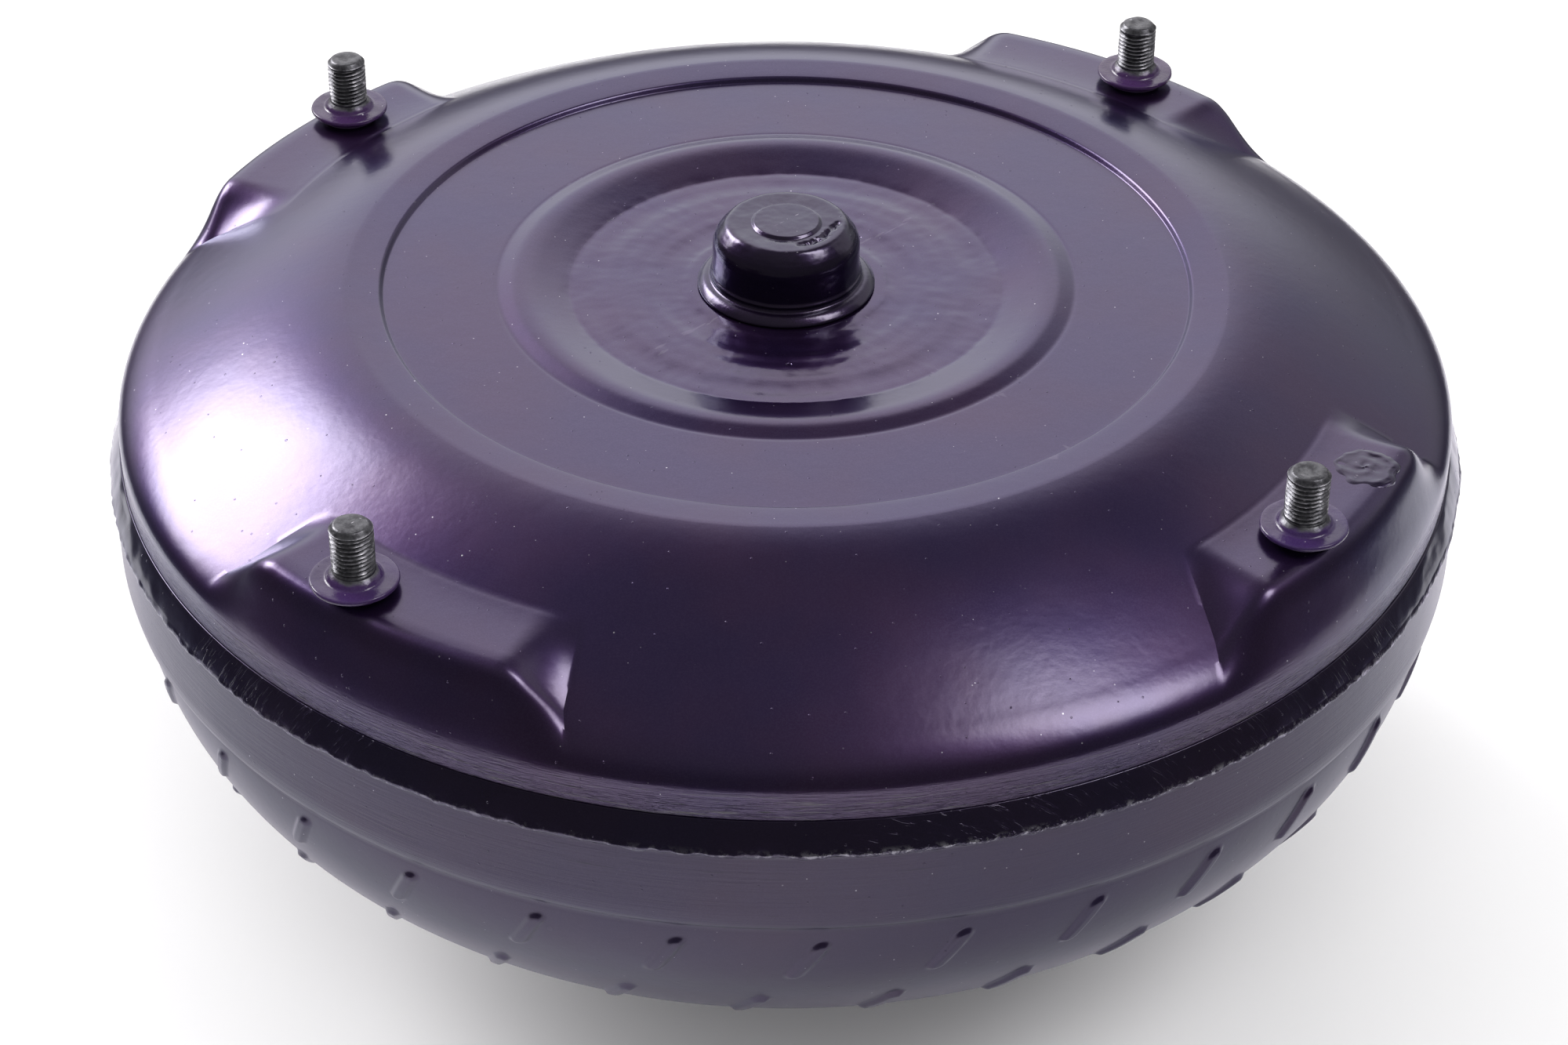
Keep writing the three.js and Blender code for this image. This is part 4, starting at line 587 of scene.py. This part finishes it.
def impeller_shell_piece():
    outer = impeller_outline()
    inner = impeller_inner_line()
    line = np.vstack([outer, inner])
    along = np.r_[0, np.cumsum(np.linalg.norm(np.diff(line, axis=0), axis=1))]
    falling = outer[: np.argmin(outer[:, 1])]
    middles = [np.interp(-z, -falling[:, 1], along[: len(falling)]) for z in RIB_ROWS]
    start = along[np.argmax(outer[:, 0] < SKIRT - 0.2)]
    end = middles[1] + RIB_LENGTH
    swept = RIB_LEAN * (np.clip(along, start, end) - middles[0])
    back = np.clip((along - along[len(outer)]) / (along[-1] - along[len(outer)]), 0, 1)
    swept = swept * (1 - back) + swept[0] * back
    columns = RIB_FIRST + np.concatenate(
        [k * RIB_PITCH + RIB_COLUMNS / RIB_COLUMN_SPAN * RIB_PITCH for k in range(RIB_COUNT)]
    )
    grid = revolved(line, columns[None, :] - swept[:, None])
    nearest = (columns - RIB_FIRST + RIB_PITCH / 2) % RIB_PITCH - RIB_PITCH / 2
    across = np.radians(nearest)[None, :] * line[:, 0][:, None]
    height = np.zeros(across.shape)
    for middle in middles:
        height += rib_height((along - middle)[:, None], across)
    height[len(outer):] = 0
    slope = np.gradient(line, axis=0)
    slope /= np.linalg.norm(slope, axis=1)[:, None]
    turn = np.radians(columns[None, :] - swept[:, None])
    out, up = -slope[:, 1][:, None], slope[:, 0][:, None]
    normal = np.stack([out * np.cos(turn), out * np.sin(turn), up + 0 * turn], axis=2)
    shown = (np.arange(len(line)) < len(outer))[:, None]
    dents = 0.05 * wobble(grid, 28.0, 31.0) + 0.02 * wobble(grid, 7.0, 32.0)
    grid += normal * (height + shown * dents)[..., None]
    return ring_solid("impeller_bowl", grid, 40)


# ------------------------------------------------------------------ impeller hub
SLOT_DEPTH = 9


def impeller_hub_piece():
    """The pump drive hub: a ground tube with two drive slots, flanged where it meets the bowl."""
    line = divided(rounded([
        (HUB_BORE, 0.9, 0),
        (HUB_BORE + 0.9, 0, 0.3),
        (HUB_RADIUS - 1.4, 0, 0.4),
        (HUB_RADIUS, 1.4, 0.5),
        (HUB_RADIUS, HUB_FACE - 10, 3.0),
        (HUB_RADIUS + 4, HUB_FACE - 6, 2.0),
        (NECK - 0.3, HUB_FACE - 6, 0.4),
        (NECK - 0.3, HUB_FACE, 0.4),
        (HUB_BORE + 0.5, HUB_FACE, 0.3),
        (HUB_BORE, HUB_FACE - 0.5, 0),
    ]), 3.0)
    hub = ring_solid("hub_tube", revolved(line, np.linspace(0, 360, 128, endpoint=False)), 30)
    block = [(x, y, z) for x in (-30, 30) for y in (-6, 6) for z in (-5, SLOT_DEPTH)]
    sides = [(0, 1, 3, 2), (4, 6, 7, 5), (0, 4, 5, 1), (2, 3, 7, 6), (0, 2, 6, 4), (1, 5, 7, 3)]
    cutter = solid("slot_cutter", np.array(block, float), sides)
    cut = hub.modifiers.new("slots", "BOOLEAN")
    cut.operation = "DIFFERENCE"
    cut.solver = "EXACT"
    cut.object = cutter
    evaluated = hub.evaluated_get(bpy.context.evaluated_depsgraph_get())
    finished = bpy.data.meshes.new_from_object(evaluated)
    hub.modifiers.clear()
    hub.data = finished
    bpy.data.objects.remove(cutter)
    finished.set_sharp_from_angle(angle=math.radians(30))
    return hub


# ------------------------------------------------------------------ materials
class Shader:
    """One procedural material, with short calls for the nodes that it uses."""

    def __init__(self, name):
        self.material = bpy.data.materials.new(name)
        self.material.use_nodes = True
        self.tree = self.material.node_tree
        self.surface = next(n for n in self.tree.nodes if n.type == "BSDF_PRINCIPLED")
        self.place = self.node("ShaderNodeTexCoord").outputs["Object"]

    def node(self, kind, **settings):
        made = self.tree.nodes.new(kind)
        for key, value in settings.items():
            setattr(made, key, value)
        return made

    def feed(self, socket, value):
        if isinstance(value, bpy.types.NodeSocket):
            self.tree.links.new(value, socket)
        else:
            socket.default_value = value

    def math(self, operation, a, b=0.0, clamp=False):
        made = self.node("ShaderNodeMath", operation=operation, use_clamp=clamp)
        self.feed(made.inputs[0], a)
        self.feed(made.inputs[1], b)
        return made.outputs[0]

    def stretched(self, x, y, z):
        made = self.node("ShaderNodeVectorMath", operation="MULTIPLY")
        self.feed(made.inputs[0], self.place)
        made.inputs[1].default_value = (x, y, z)
        return made.outputs[0]

    def noise(self, scale, detail=3.0, rough=0.55, at=None):
        made = self.node("ShaderNodeTexNoise")
        self.feed(made.inputs["Vector"], at or self.place)
        made.inputs["Scale"].default_value = scale
        made.inputs["Detail"].default_value = detail
        made.inputs["Roughness"].default_value = rough
        return made.outputs["Fac"]

    def ramp(self, value, low, high, start=0.0, end=1.0):
        made = self.node("ShaderNodeMapRange", interpolation_type="SMOOTHSTEP")
        self.feed(made.inputs["Value"], value)
        sockets = ("From Min", "From Max", "To Min", "To Max")
        for socket, number in zip(sockets, (low, high, start, end)):
            made.inputs[socket].default_value = number
        return made.outputs[0]

    def blend(self, share, a, b):
        made = self.node("ShaderNodeMix", data_type="RGBA")
        self.feed(made.inputs[0], share)
        for socket, colour in ((made.inputs[6], a), (made.inputs[7], b)):
            self.feed(socket, colour if isinstance(colour, bpy.types.NodeSocket) else (*colour, 1))
        return made.outputs[2]

    def specks(self, scale, size, share):
        """Small round marks: one cell in a few holds one."""
        made = self.node("ShaderNodeTexVoronoi")
        self.feed(made.inputs["Vector"], self.place)
        made.inputs["Scale"].default_value = scale
        split = self.node("ShaderNodeSeparateColor")
        self.feed(split.inputs[0], made.outputs["Color"])
        dot = self.ramp(made.outputs["Distance"], size * 0.6, size, 1.0, 0.0)
        chosen = self.math("LESS_THAN", split.outputs[0], share)
        return self.math("MULTIPLY", dot, chosen)

    def axes(self):
        split = self.node("ShaderNodeSeparateXYZ")
        self.feed(split.inputs[0], self.place)
        return split.outputs

    def bump(self, height, distance, before=None):
        made = self.node("ShaderNodeBump")
        made.inputs["Strength"].default_value = 1.0
        made.inputs["Distance"].default_value = distance
        self.feed(made.inputs["Height"], height)
        if before:
            self.feed(made.inputs["Normal"], before)
        return made.outputs[0]

    def edges(self, low, high):
        """How far a place stands out as an edge."""
        made = self.node("ShaderNodeNewGeometry")
        return self.ramp(made.outputs["Pointiness"], low, high)

    def finish(self, colour, roughness, normal, metallic=None):
        self.feed(self.surface.inputs["Base Color"], colour)
        self.feed(self.surface.inputs["Roughness"], roughness)
        self.feed(self.surface.inputs["Normal"], normal)
        if metallic is not None:
            self.feed(self.surface.inputs["Metallic"], metallic)
        return self.material

    def enamel(self, colour, roughness, normal, flake=0.9):
        """Dark pearl paint under a glossy clear skin that carries the roughness and relief."""
        self.feed(self.surface.inputs["Base Color"], colour)
        self.feed(self.surface.inputs["Metallic"], flake)
        self.feed(self.surface.inputs["Roughness"], self.math("ADD", roughness, 0.13))
        self.feed(self.surface.inputs["Normal"], normal)
        self.surface.inputs["Specular IOR Level"].default_value = 0.1
        self.surface.inputs["Specular Tint"].default_value = (0.30, 0.22, 0.50, 1)
        self.surface.inputs["Coat Weight"].default_value = 1.0
        self.feed(self.surface.inputs["Coat Roughness"], roughness)
        self.feed(self.surface.inputs["Coat Normal"], normal)
        return self.material


VIOLET = (0.025, 0.012, 0.062)
PLUM = (0.035, 0.013, 0.056)
DUST = (0.62, 0.60, 0.66)


def paint_colour(shader):
    """Violet enamel: it drifts between violet and plum, with fine pigment and a little dust."""
    drift = shader.ramp(shader.noise(22, 3), 0.35, 0.68)
    base = shader.blend(drift, VIOLET, PLUM)
    pigment = shader.ramp(shader.noise(2600, 2, 0.7), 0.35, 0.75)
    base = shader.blend(shader.math("MULTIPLY", pigment, 0.30), base, (0.060, 0.042, 0.105))
    patches = shader.ramp(shader.noise(16, 2), 0.42, 0.66)
    dust = shader.math("MULTIPLY", shader.specks(260, 0.060, 0.34), patches)
    grit = shader.math("MAXIMUM", shader.specks(110, 0.026, 0.25), shader.specks(430, 0.060, 0.16))
    dust = shader.math("MAXIMUM", dust, grit)
    return shader.blend(shader.math("MULTIPLY", dust, 0.75), base, DUST)


def peel(shader, depth):
    """Orange peel, small sags and scattered nibs in the dried paint."""
    fine = shader.noise(620, 2, 0.5)
    broad = shader.noise(140, 2, 0.5)
    nibs = shader.math("MAXIMUM", shader.specks(170, 0.06, 0.14), shader.specks(400, 0.11, 0.22))
    normal = shader.bump(broad, depth * 5)
    normal = shader.bump(fine, depth * 1.7, normal)
    return shader.bump(nibs, 0.00008, normal)


def cover_paint():
    shader = Shader("violet_enamel_cover")
    x, y, z = shader.axes()
    radius = shader.math("SQRT", shader.math("ADD", shader.math("MULTIPLY", x, x),
                                             shader.math("MULTIPLY", y, y)))
    skirt = shader.ramp(z, (SKIRT_FOOT + 17) * MM, (SKIRT_FOOT + 9) * MM)
    streaks = shader.noise(60, 4, 0.6, shader.stretched(1, 1, 26))
    fine_streaks = shader.noise(180, 3, 0.6, shader.stretched(1, 1, 14))
    colour = paint_colour(shader)
    wear_and_highlight = shader.math("MULTIPLY", skirt, shader.ramp(streaks, 0.54, 0.72))
    colour = shader.blend(shader.math("MULTIPLY", wear_and_highlight, 0.8), colour, (0.125, 0.120, 0.130))
    dark = shader.math("MULTIPLY", skirt, shader.ramp(fine_streaks, 0.40, 0.28))
    colour = shader.blend(shader.math("MULTIPLY", dark, 0.8), colour, (0.004, 0.004, 0.008))
    # Painted highlight: convex edges lightened towards a pale violet-grey.
    edge = shader.math("MULTIPLY", shader.edges(0.535, 0.60), 0.35)
    colour = shader.blend(edge, colour, (0.11, 0.10, 0.14))
    rough = shader.math("ADD", shader.math("MULTIPLY", shader.noise(45, 3), 0.10), 0.15)
    rough = shader.math("ADD", rough, shader.math("MULTIPLY", wear_and_highlight, 0.22))
    floor = shader.ramp(radius, 0.050, 0.054, 1.0, 0.0)
    rough = shader.math("SUBTRACT", rough, shader.math("MULTIPLY", floor, 0.05))
    normal = peel(shader, 0.000011)
    marks = shader.math("MULTIPLY", skirt, shader.math("ADD", streaks, fine_streaks))
    normal = shader.bump(marks, 0.00020, normal)
    pits = shader.specks(120, 0.10, 0.10)
    pits = shader.math("MULTIPLY", pits, shader.math("MAXIMUM", floor, skirt))
    normal = shader.bump(shader.math("SUBTRACT", 1.0, pits), 0.00018, normal)
    return shader.enamel(colour, rough, normal)


def shell_paint():
    """The band and bowl: the same enamel darkened halfway to grey-black as painted shade, with a
    duller coat, thin in streaks along the band.
    """
    shader = Shader("violet_enamel_bowl")
    z = shader.axes()[2]
    band = shader.ramp(z, (MOUTH - 1) * MM, (MOUTH + 1) * MM)
    streaks = shader.noise(42, 4, 0.65, shader.stretched(1, 1, 34))
    thin = shader.math("MULTIPLY", band, shader.ramp(streaks, 0.63, 0.72))
    # Painted shade: the enamel is blended halfway to near-black, so it is darker than the cover's.
    colour = shader.blend(0.5, paint_colour(shader), (0.013, 0.012, 0.020))
    colour = shader.blend(shader.math("MULTIPLY", thin, 0.6), colour, (0.006, 0.005, 0.016))
    # Painted highlight: convex edges lightened towards a pale violet-grey.
    edge = shader.math("MULTIPLY", shader.edges(0.53, 0.60), 0.4)
    colour = shader.blend(edge, colour, (0.10, 0.095, 0.12))
    rough = shader.math("ADD", shader.math("MULTIPLY", shader.noise(38, 3), 0.10), 0.20)
    normal = peel(shader, 0.000010)
    normal = shader.bump(shader.math("MULTIPLY", band, streaks), 0.00010, normal)
    shader.enamel(colour, rough, normal, 0.7)
    shader.surface.inputs["Coat Weight"].default_value = 0.75
    return shader.material


def weld_paint():
    """Thick glossy enamel over the weld, darkened as painted shade, with the file marks and spatter
    showing through and painted glints along its lower edge on the right.
    """
    shader = Shader("violet_enamel_weld")
    x, _, z = shader.axes()
    low = shader.ramp(z, (BAND_TOP + 2.6) * MM, (BAND_TOP + 0.8) * MM)
    # Painted shade: the enamel is blended past halfway to near-black.
    colour = shader.blend(0.55, paint_colour(shader), (0.006, 0.005, 0.016))
    # Painted glints: light grey flecks along the lower edge, strongest on the right half. The same
    # band also carries the spatter crumbs bump.
    crust_and_glint = shader.math("MULTIPLY", low, shader.ramp(x, -0.02, 0.04, 0.25, 1.0))
    glint = shader.math("MULTIPLY", crust_and_glint, shader.ramp(shader.noise(420, 4, 0.7), 0.48, 0.62))
    colour = shader.blend(shader.math("MULTIPLY", glint, 0.7), colour, (0.42, 0.41, 0.46))
    rough = shader.math("ADD", shader.math("MULTIPLY", shader.noise(90, 3), 0.14), 0.10)
    slanted = shader.node("ShaderNodeMapping")
    slanted.inputs["Rotation"].default_value = (0.6, 0.35, 0.2)
    slanted.inputs["Scale"].default_value = (1, 14, 1)
    shader.feed(slanted.inputs["Vector"], shader.place)
    scratches = shader.ramp(shader.noise(150, 3, 0.6, slanted.outputs[0]), 0.56, 0.70)
    scratches = shader.math("MULTIPLY", scratches, shader.ramp(shader.noise(15, 2), 0.50, 0.60))
    normal = peel(shader, 0.000014)
    normal = shader.bump(scratches, 0.00005, normal)
    crumbs = shader.math("MULTIPLY", crust_and_glint, shader.noise(520, 4, 0.7))
    normal = shader.bump(crumbs, 0.00060, normal)
    return shader.enamel(colour, rough, normal)


def pilot_paint():
    """Thick glossy enamel darkened as painted shade, with brush sags and painted highlights in
    patches on the pilot's edges.
    """
    shader = Shader("violet_enamel_pilot")
    # Painted shade: the enamel is blended halfway to near-black.
    colour = shader.blend(0.5, paint_colour(shader), (0.005, 0.004, 0.012))
    edge = shader.edges(0.54, 0.62)
    # Painted highlight: convex edges lightened to grey in noisy patches.
    painted_edge_highlights = shader.math("MULTIPLY", edge, shader.ramp(shader.noise(240, 3), 0.4, 0.6))
    colour = shader.blend(shader.math("MULTIPLY", painted_edge_highlights, 0.7), colour, (0.20, 0.19, 0.22))
    rough = shader.math("ADD", shader.math("MULTIPLY", shader.noise(120, 3), 0.12), 0.09)
    normal = peel(shader, 0.000022)
    return shader.enamel(colour, rough, normal)


def stud_finish():
    """Dark phosphated thread with painted highlights on its crests, over a painted flange whose
    edges are also lightened as painted highlight.
    """
    shader = Shader("stud_steel_and_paint")
    z = shader.axes()[2]
    bare = shader.math("ADD", z, shader.math("MULTIPLY", shader.noise(300, 3), 0.0016))
    bare = shader.ramp(bare, (SEAT + 1.7) * MM, (SEAT + 2.5) * MM)
    # Painted highlight: thread crests lightened to bright steel in noisy patches.
    crests = shader.edges(0.50, 0.60)
    crest_glints = shader.math("MULTIPLY", crests, shader.ramp(shader.noise(330, 4, 0.7), 0.42, 0.62))
    cloud = shader.ramp(shader.noise(420, 4, 0.7), 0.3, 0.7)
    metal = shader.blend(cloud, (0.035, 0.034, 0.040), (0.13, 0.13, 0.14))
    metal = shader.blend(crest_glints, metal, (0.50, 0.49, 0.53))
    # Painted highlight: the flange's convex edges lightened towards a pale grey-violet.
    wear_and_highlight = shader.math("MULTIPLY", shader.edges(0.53, 0.60), 0.4)
    painted = shader.blend(wear_and_highlight, paint_colour(shader), (0.16, 0.15, 0.19))
    colour = shader.blend(bare, painted, metal)
    rough = shader.math("ADD", shader.math("MULTIPLY", bare, 0.16), 0.16)
    rough = shader.math("ADD", rough, shader.math("MULTIPLY", shader.noise(260, 3), 0.10))
    normal = peel(shader, 0.000014)
    normal = shader.bump(shader.noise(900, 3, 0.6), 0.00007, normal)
    return shader.finish(colour, rough, normal, shader.math("MULTIPLY", bare, 0.85))


def steel(name, dark, bright, roughness, turned=0.0, metallic=1.0):
    """Bare metal: cloudy tone, rings from turning, painted highlights on convex edges and fine
    tooth.
    """
    shader = Shader(name)
    cloud = shader.ramp(shader.noise(60, 4, 0.6), 0.3, 0.7)
    colour = shader.blend(cloud, dark, bright)
    # Painted highlight: convex edges lightened past the bright tone.
    wear_and_highlight = shader.math("MULTIPLY", shader.edges(0.52, 0.60), 0.5)
    colour = shader.blend(wear_and_highlight, colour, tuple(min(1.0, 1.35 * c) for c in bright))
    lines = shader.noise(70, 3, 0.6, shader.stretched(1, 1, 40))
    rough = shader.math("ADD", shader.math("MULTIPLY", cloud, 0.14), roughness)
    normal = shader.bump(shader.noise(900, 3, 0.6), 0.00003)
    normal = shader.bump(lines, 0.00001 + turned * 0.0001, normal)
    shader.surface.inputs["Metallic"].default_value = metallic
    return shader.finish(colour, rough, normal)


def friction_paper():
    """Pressed paper lining: brown felted fibres with darker resin."""
    shader = Shader("friction_paper")
    fibres = shader.noise(900, 5, 0.7, shader.stretched(1, 0.35, 1))
    colour = shader.blend(shader.ramp(fibres, 0.35, 0.7), (0.10, 0.065, 0.035), (0.30, 0.21, 0.12))
    rough = shader.math("ADD", shader.math("MULTIPLY", fibres, 0.15), 0.80)
    return shader.finish(colour, rough, shader.bump(fibres, 0.00012))


def seal_rubber():
    """Black seal rubber with a faint moulded grain."""
    shader = Shader("seal_rubber")
    grain = shader.noise(700, 4, 0.6)
    colour = shader.blend(grain, (0.012, 0.012, 0.013), (0.030, 0.030, 0.032))
    rough = shader.math("ADD", shader.math("MULTIPLY", grain, 0.2), 0.55)
    return shader.finish(colour, rough, shader.bump(grain, 0.00004))


# ------------------------------------------------------------------ the inside, kept from the CAD
def finish_inner_nodes():
    """Every carried-over node gets the finish of what it is made of."""
    finishes = {
        "pressed": steel("pressed_steel", (0.28, 0.27, 0.26), (0.46, 0.45, 0.44), 0.34, 0.3),
        "forged": steel("forged_steel", (0.16, 0.155, 0.15), (0.33, 0.32, 0.31), 0.42, 0.6),
        "ground": steel("ground_steel", (0.42, 0.42, 0.42), (0.62, 0.62, 0.62), 0.20, 0.5),
        "spring": steel("spring_steel", (0.045, 0.045, 0.055), (0.12, 0.12, 0.14), 0.30),
        "alloy": steel("cast_alloy", (0.50, 0.51, 0.52), (0.68, 0.69, 0.70), 0.42),
        "bronze": steel("washer_bronze", (0.40, 0.23, 0.09), (0.62, 0.38, 0.16), 0.28, 0.6),
        "paper": friction_paper(),
        "rubber": seal_rubber(),
    }
    kinds = {
        "impeller_blade_ring": "pressed", "front_thrust_washer": "bronze",
        "turbine_shell": "pressed", "turbine_blade_ring": "pressed", "turbine_hub": "forged",
        "turbine_rivet": "ground", "driven_plate": "forged", "lockup_piston": "pressed",
        "friction_lining": "paper", "piston_seal": "rubber", "damper_plate": "pressed",
        "damper_stop_pin": "ground", "damper_spring": "spring", "stator_wheel": "alloy",
        "stator_inner_race": "ground", "clutch_cam": "forged", "clutch_roller": "ground",
        "roller_spring": "spring", "clutch_end_cap": "alloy", "clutch_snap_ring": "spring",
        "rear_thrust_bearing": "ground", "front_thrust_bearing": "ground",
    }
    for name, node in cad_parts.items():
        kind = next((k for start, k in kinds.items() if name.startswith(start)), None)
        if kind:
            node.data.materials.clear()
            node.data.materials.append(finishes[kind])


# ------------------------------------------------------------------ floor and light
FLOOR_RADIUS = 540.0
FLOOR_SHIFT = 100


def make_floor():
    """A pale round table top that the hub stands on."""
    turn = np.radians(np.linspace(0, 360, 96, endpoint=False))
    x, y = FLOOR_RADIUS * np.cos(turn), FLOOR_RADIUS * np.sin(turn) + FLOOR_SHIFT
    rim = np.stack([x, y, 0 * turn], axis=1)
    mesh = bpy.data.meshes.new("floor")
    mesh.from_pydata(rim * MM, [], [list(range(len(rim)))])
    floor = bpy.data.objects.new("floor", mesh)
    bpy.context.scene.collection.objects.link(floor)
    shader = Shader("pale_floor")
    tone = shader.blend(shader.noise(6, 2), (0.86, 0.86, 0.86), (0.90, 0.90, 0.90))
    mesh.materials.append(shader.finish(tone, 0.85, shader.bump(shader.noise(400, 2), 0.00002)))


class Studio:
    """The room as light by direction: soft panels on a dark ceiling, a pale wall for the camera."""

    def __init__(self):
        world = bpy.data.worlds.new("studio")
        bpy.context.scene.world = world
        world.use_nodes = True
        self.tree = world.node_tree
        self.tree.nodes.clear()
        way = self.tree.nodes.new("ShaderNodeTexCoord").outputs["Generated"]
        split = self.tree.nodes.new("ShaderNodeSeparateXYZ")
        self.tree.links.new(way, split.inputs[0])
        x, y, z = split.outputs
        self.elevation = self.math("MULTIPLY", self.math("ARCSINE", z), 180 / math.pi)
        self.azimuth = self.math("MULTIPLY", self.math("ARCTAN2", y, x), 180 / math.pi)
        self.total = 0.0

    def math(self, operation, a, b=0.0):
        made = self.tree.nodes.new("ShaderNodeMath")
        made.operation = operation
        for socket, value in zip(made.inputs, (a, b)):
            if isinstance(value, bpy.types.NodeSocket):
                self.tree.links.new(value, socket)
            else:
                socket.default_value = value
        return made.outputs[0]

    def window(self, value, low, high, soft):
        """1 between low and high, fading to 0 over soft degrees outside them."""
        shares = []
        for start, end in ((low - soft, low), (high + soft, high)):
            made = self.tree.nodes.new("ShaderNodeMapRange")
            made.interpolation_type = "SMOOTHSTEP"
            self.tree.links.new(value, made.inputs["Value"])
            made.inputs["From Min"].default_value = start
            made.inputs["From Max"].default_value = end
            shares.append(made.outputs[0])
        return self.math("MULTIPLY", *shares)

    def panel(self, azimuths, elevations, soft, strength):
        across = self.window(self.azimuth, *azimuths, soft)
        upward = self.window(self.elevation, *elevations, soft)
        light = self.math("MULTIPLY", self.math("MULTIPLY", across, upward), strength)
        self.total = self.math("ADD", self.total, light)

    def light(self, ceiling, wall):
        strength = self.math("ADD", self.total, ceiling)
        path = self.tree.nodes.new("ShaderNodeLightPath")
        seen = self.tree.nodes.new("ShaderNodeMix")
        self.tree.links.new(path.outputs["Is Camera Ray"], seen.inputs[0])
        self.tree.links.new(strength, seen.inputs[2])
        seen.inputs[3].default_value = wall
        background = self.tree.nodes.new("ShaderNodeBackground")
        background.inputs["Color"].default_value = (1.0, 0.985, 1.0, 1)
        self.tree.links.new(seen.outputs[0], background.inputs["Strength"])
        output = self.tree.nodes.new("ShaderNodeOutputWorld")
        self.tree.links.new(background.outputs[0], output.inputs["Surface"])


def add_lamp(name, size, power, place, tilt):
    """A round soft lamp that lights matt surfaces and isn't mirrored in glossy ones."""
    data = bpy.data.lights.new(name, "AREA")
    data.shape = "DISK"
    data.size = size
    data.energy = power
    lamp = bpy.data.objects.new(name, data)
    lamp.location = place
    lamp.rotation_euler = (math.radians(tilt), 0, 0)
    lamp.visible_glossy = False
    bpy.context.scene.collection.objects.link(lamp)


def make_light():
    studio = Studio()
    studio.panel((82, 130), (14, 40), 26, 1.08)
    studio.panel((22, 130), (12, 36), 18, 0.55)
    studio.panel((137, 151), (26, 37), 14, 16.0)
    studio.panel((-24, -8), (50, 62), 14, 9.5)
    studio.panel((-180, 180), (62, 90), 30, 0.09)
    studio.light(0.10, 1.0)
    add_lamp("overhead", 2.4, 14.0, (0, 0, 1.6), 0)
    add_lamp("front_fill", 1.2, 9.0, (0, -1.2, 1.0), 50)


# ------------------------------------------------------------------ assembly
def place(piece, node, slot, material):
    piece.data.materials.clear()
    piece.data.materials.append(material)
    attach(piece, "housing")
    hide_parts(node)


place(front_cover(), "front_cover", "housing_paint", cover_paint())
place(pilot_piece(), "crankshaft_pilot", "housing_paint", pilot_paint())
place(drain_weld_piece(), "drain_plug", "housing_paint", pilot_paint())
place(closure_weld_piece(), "closure_weld", "weld_paint", weld_paint())
place(impeller_shell_piece(), "impeller_shell", "housing_paint", shell_paint())
place(impeller_hub_piece(), "impeller_hub", "ground_steel",
      steel("ground_hub_steel", (0.40, 0.40, 0.41), (0.60, 0.60, 0.61), 0.18, 0.5))
stud_material = stud_finish()
for number, angle in enumerate(STUD_ANGLES, 1):
    place(stud_piece(number, angle), f"flexplate_stud_{number}", "stud_steel", stud_material)
finish_inner_nodes()
make_floor()
make_light()
bpy.context.scene.view_settings.view_transform = "Standard"
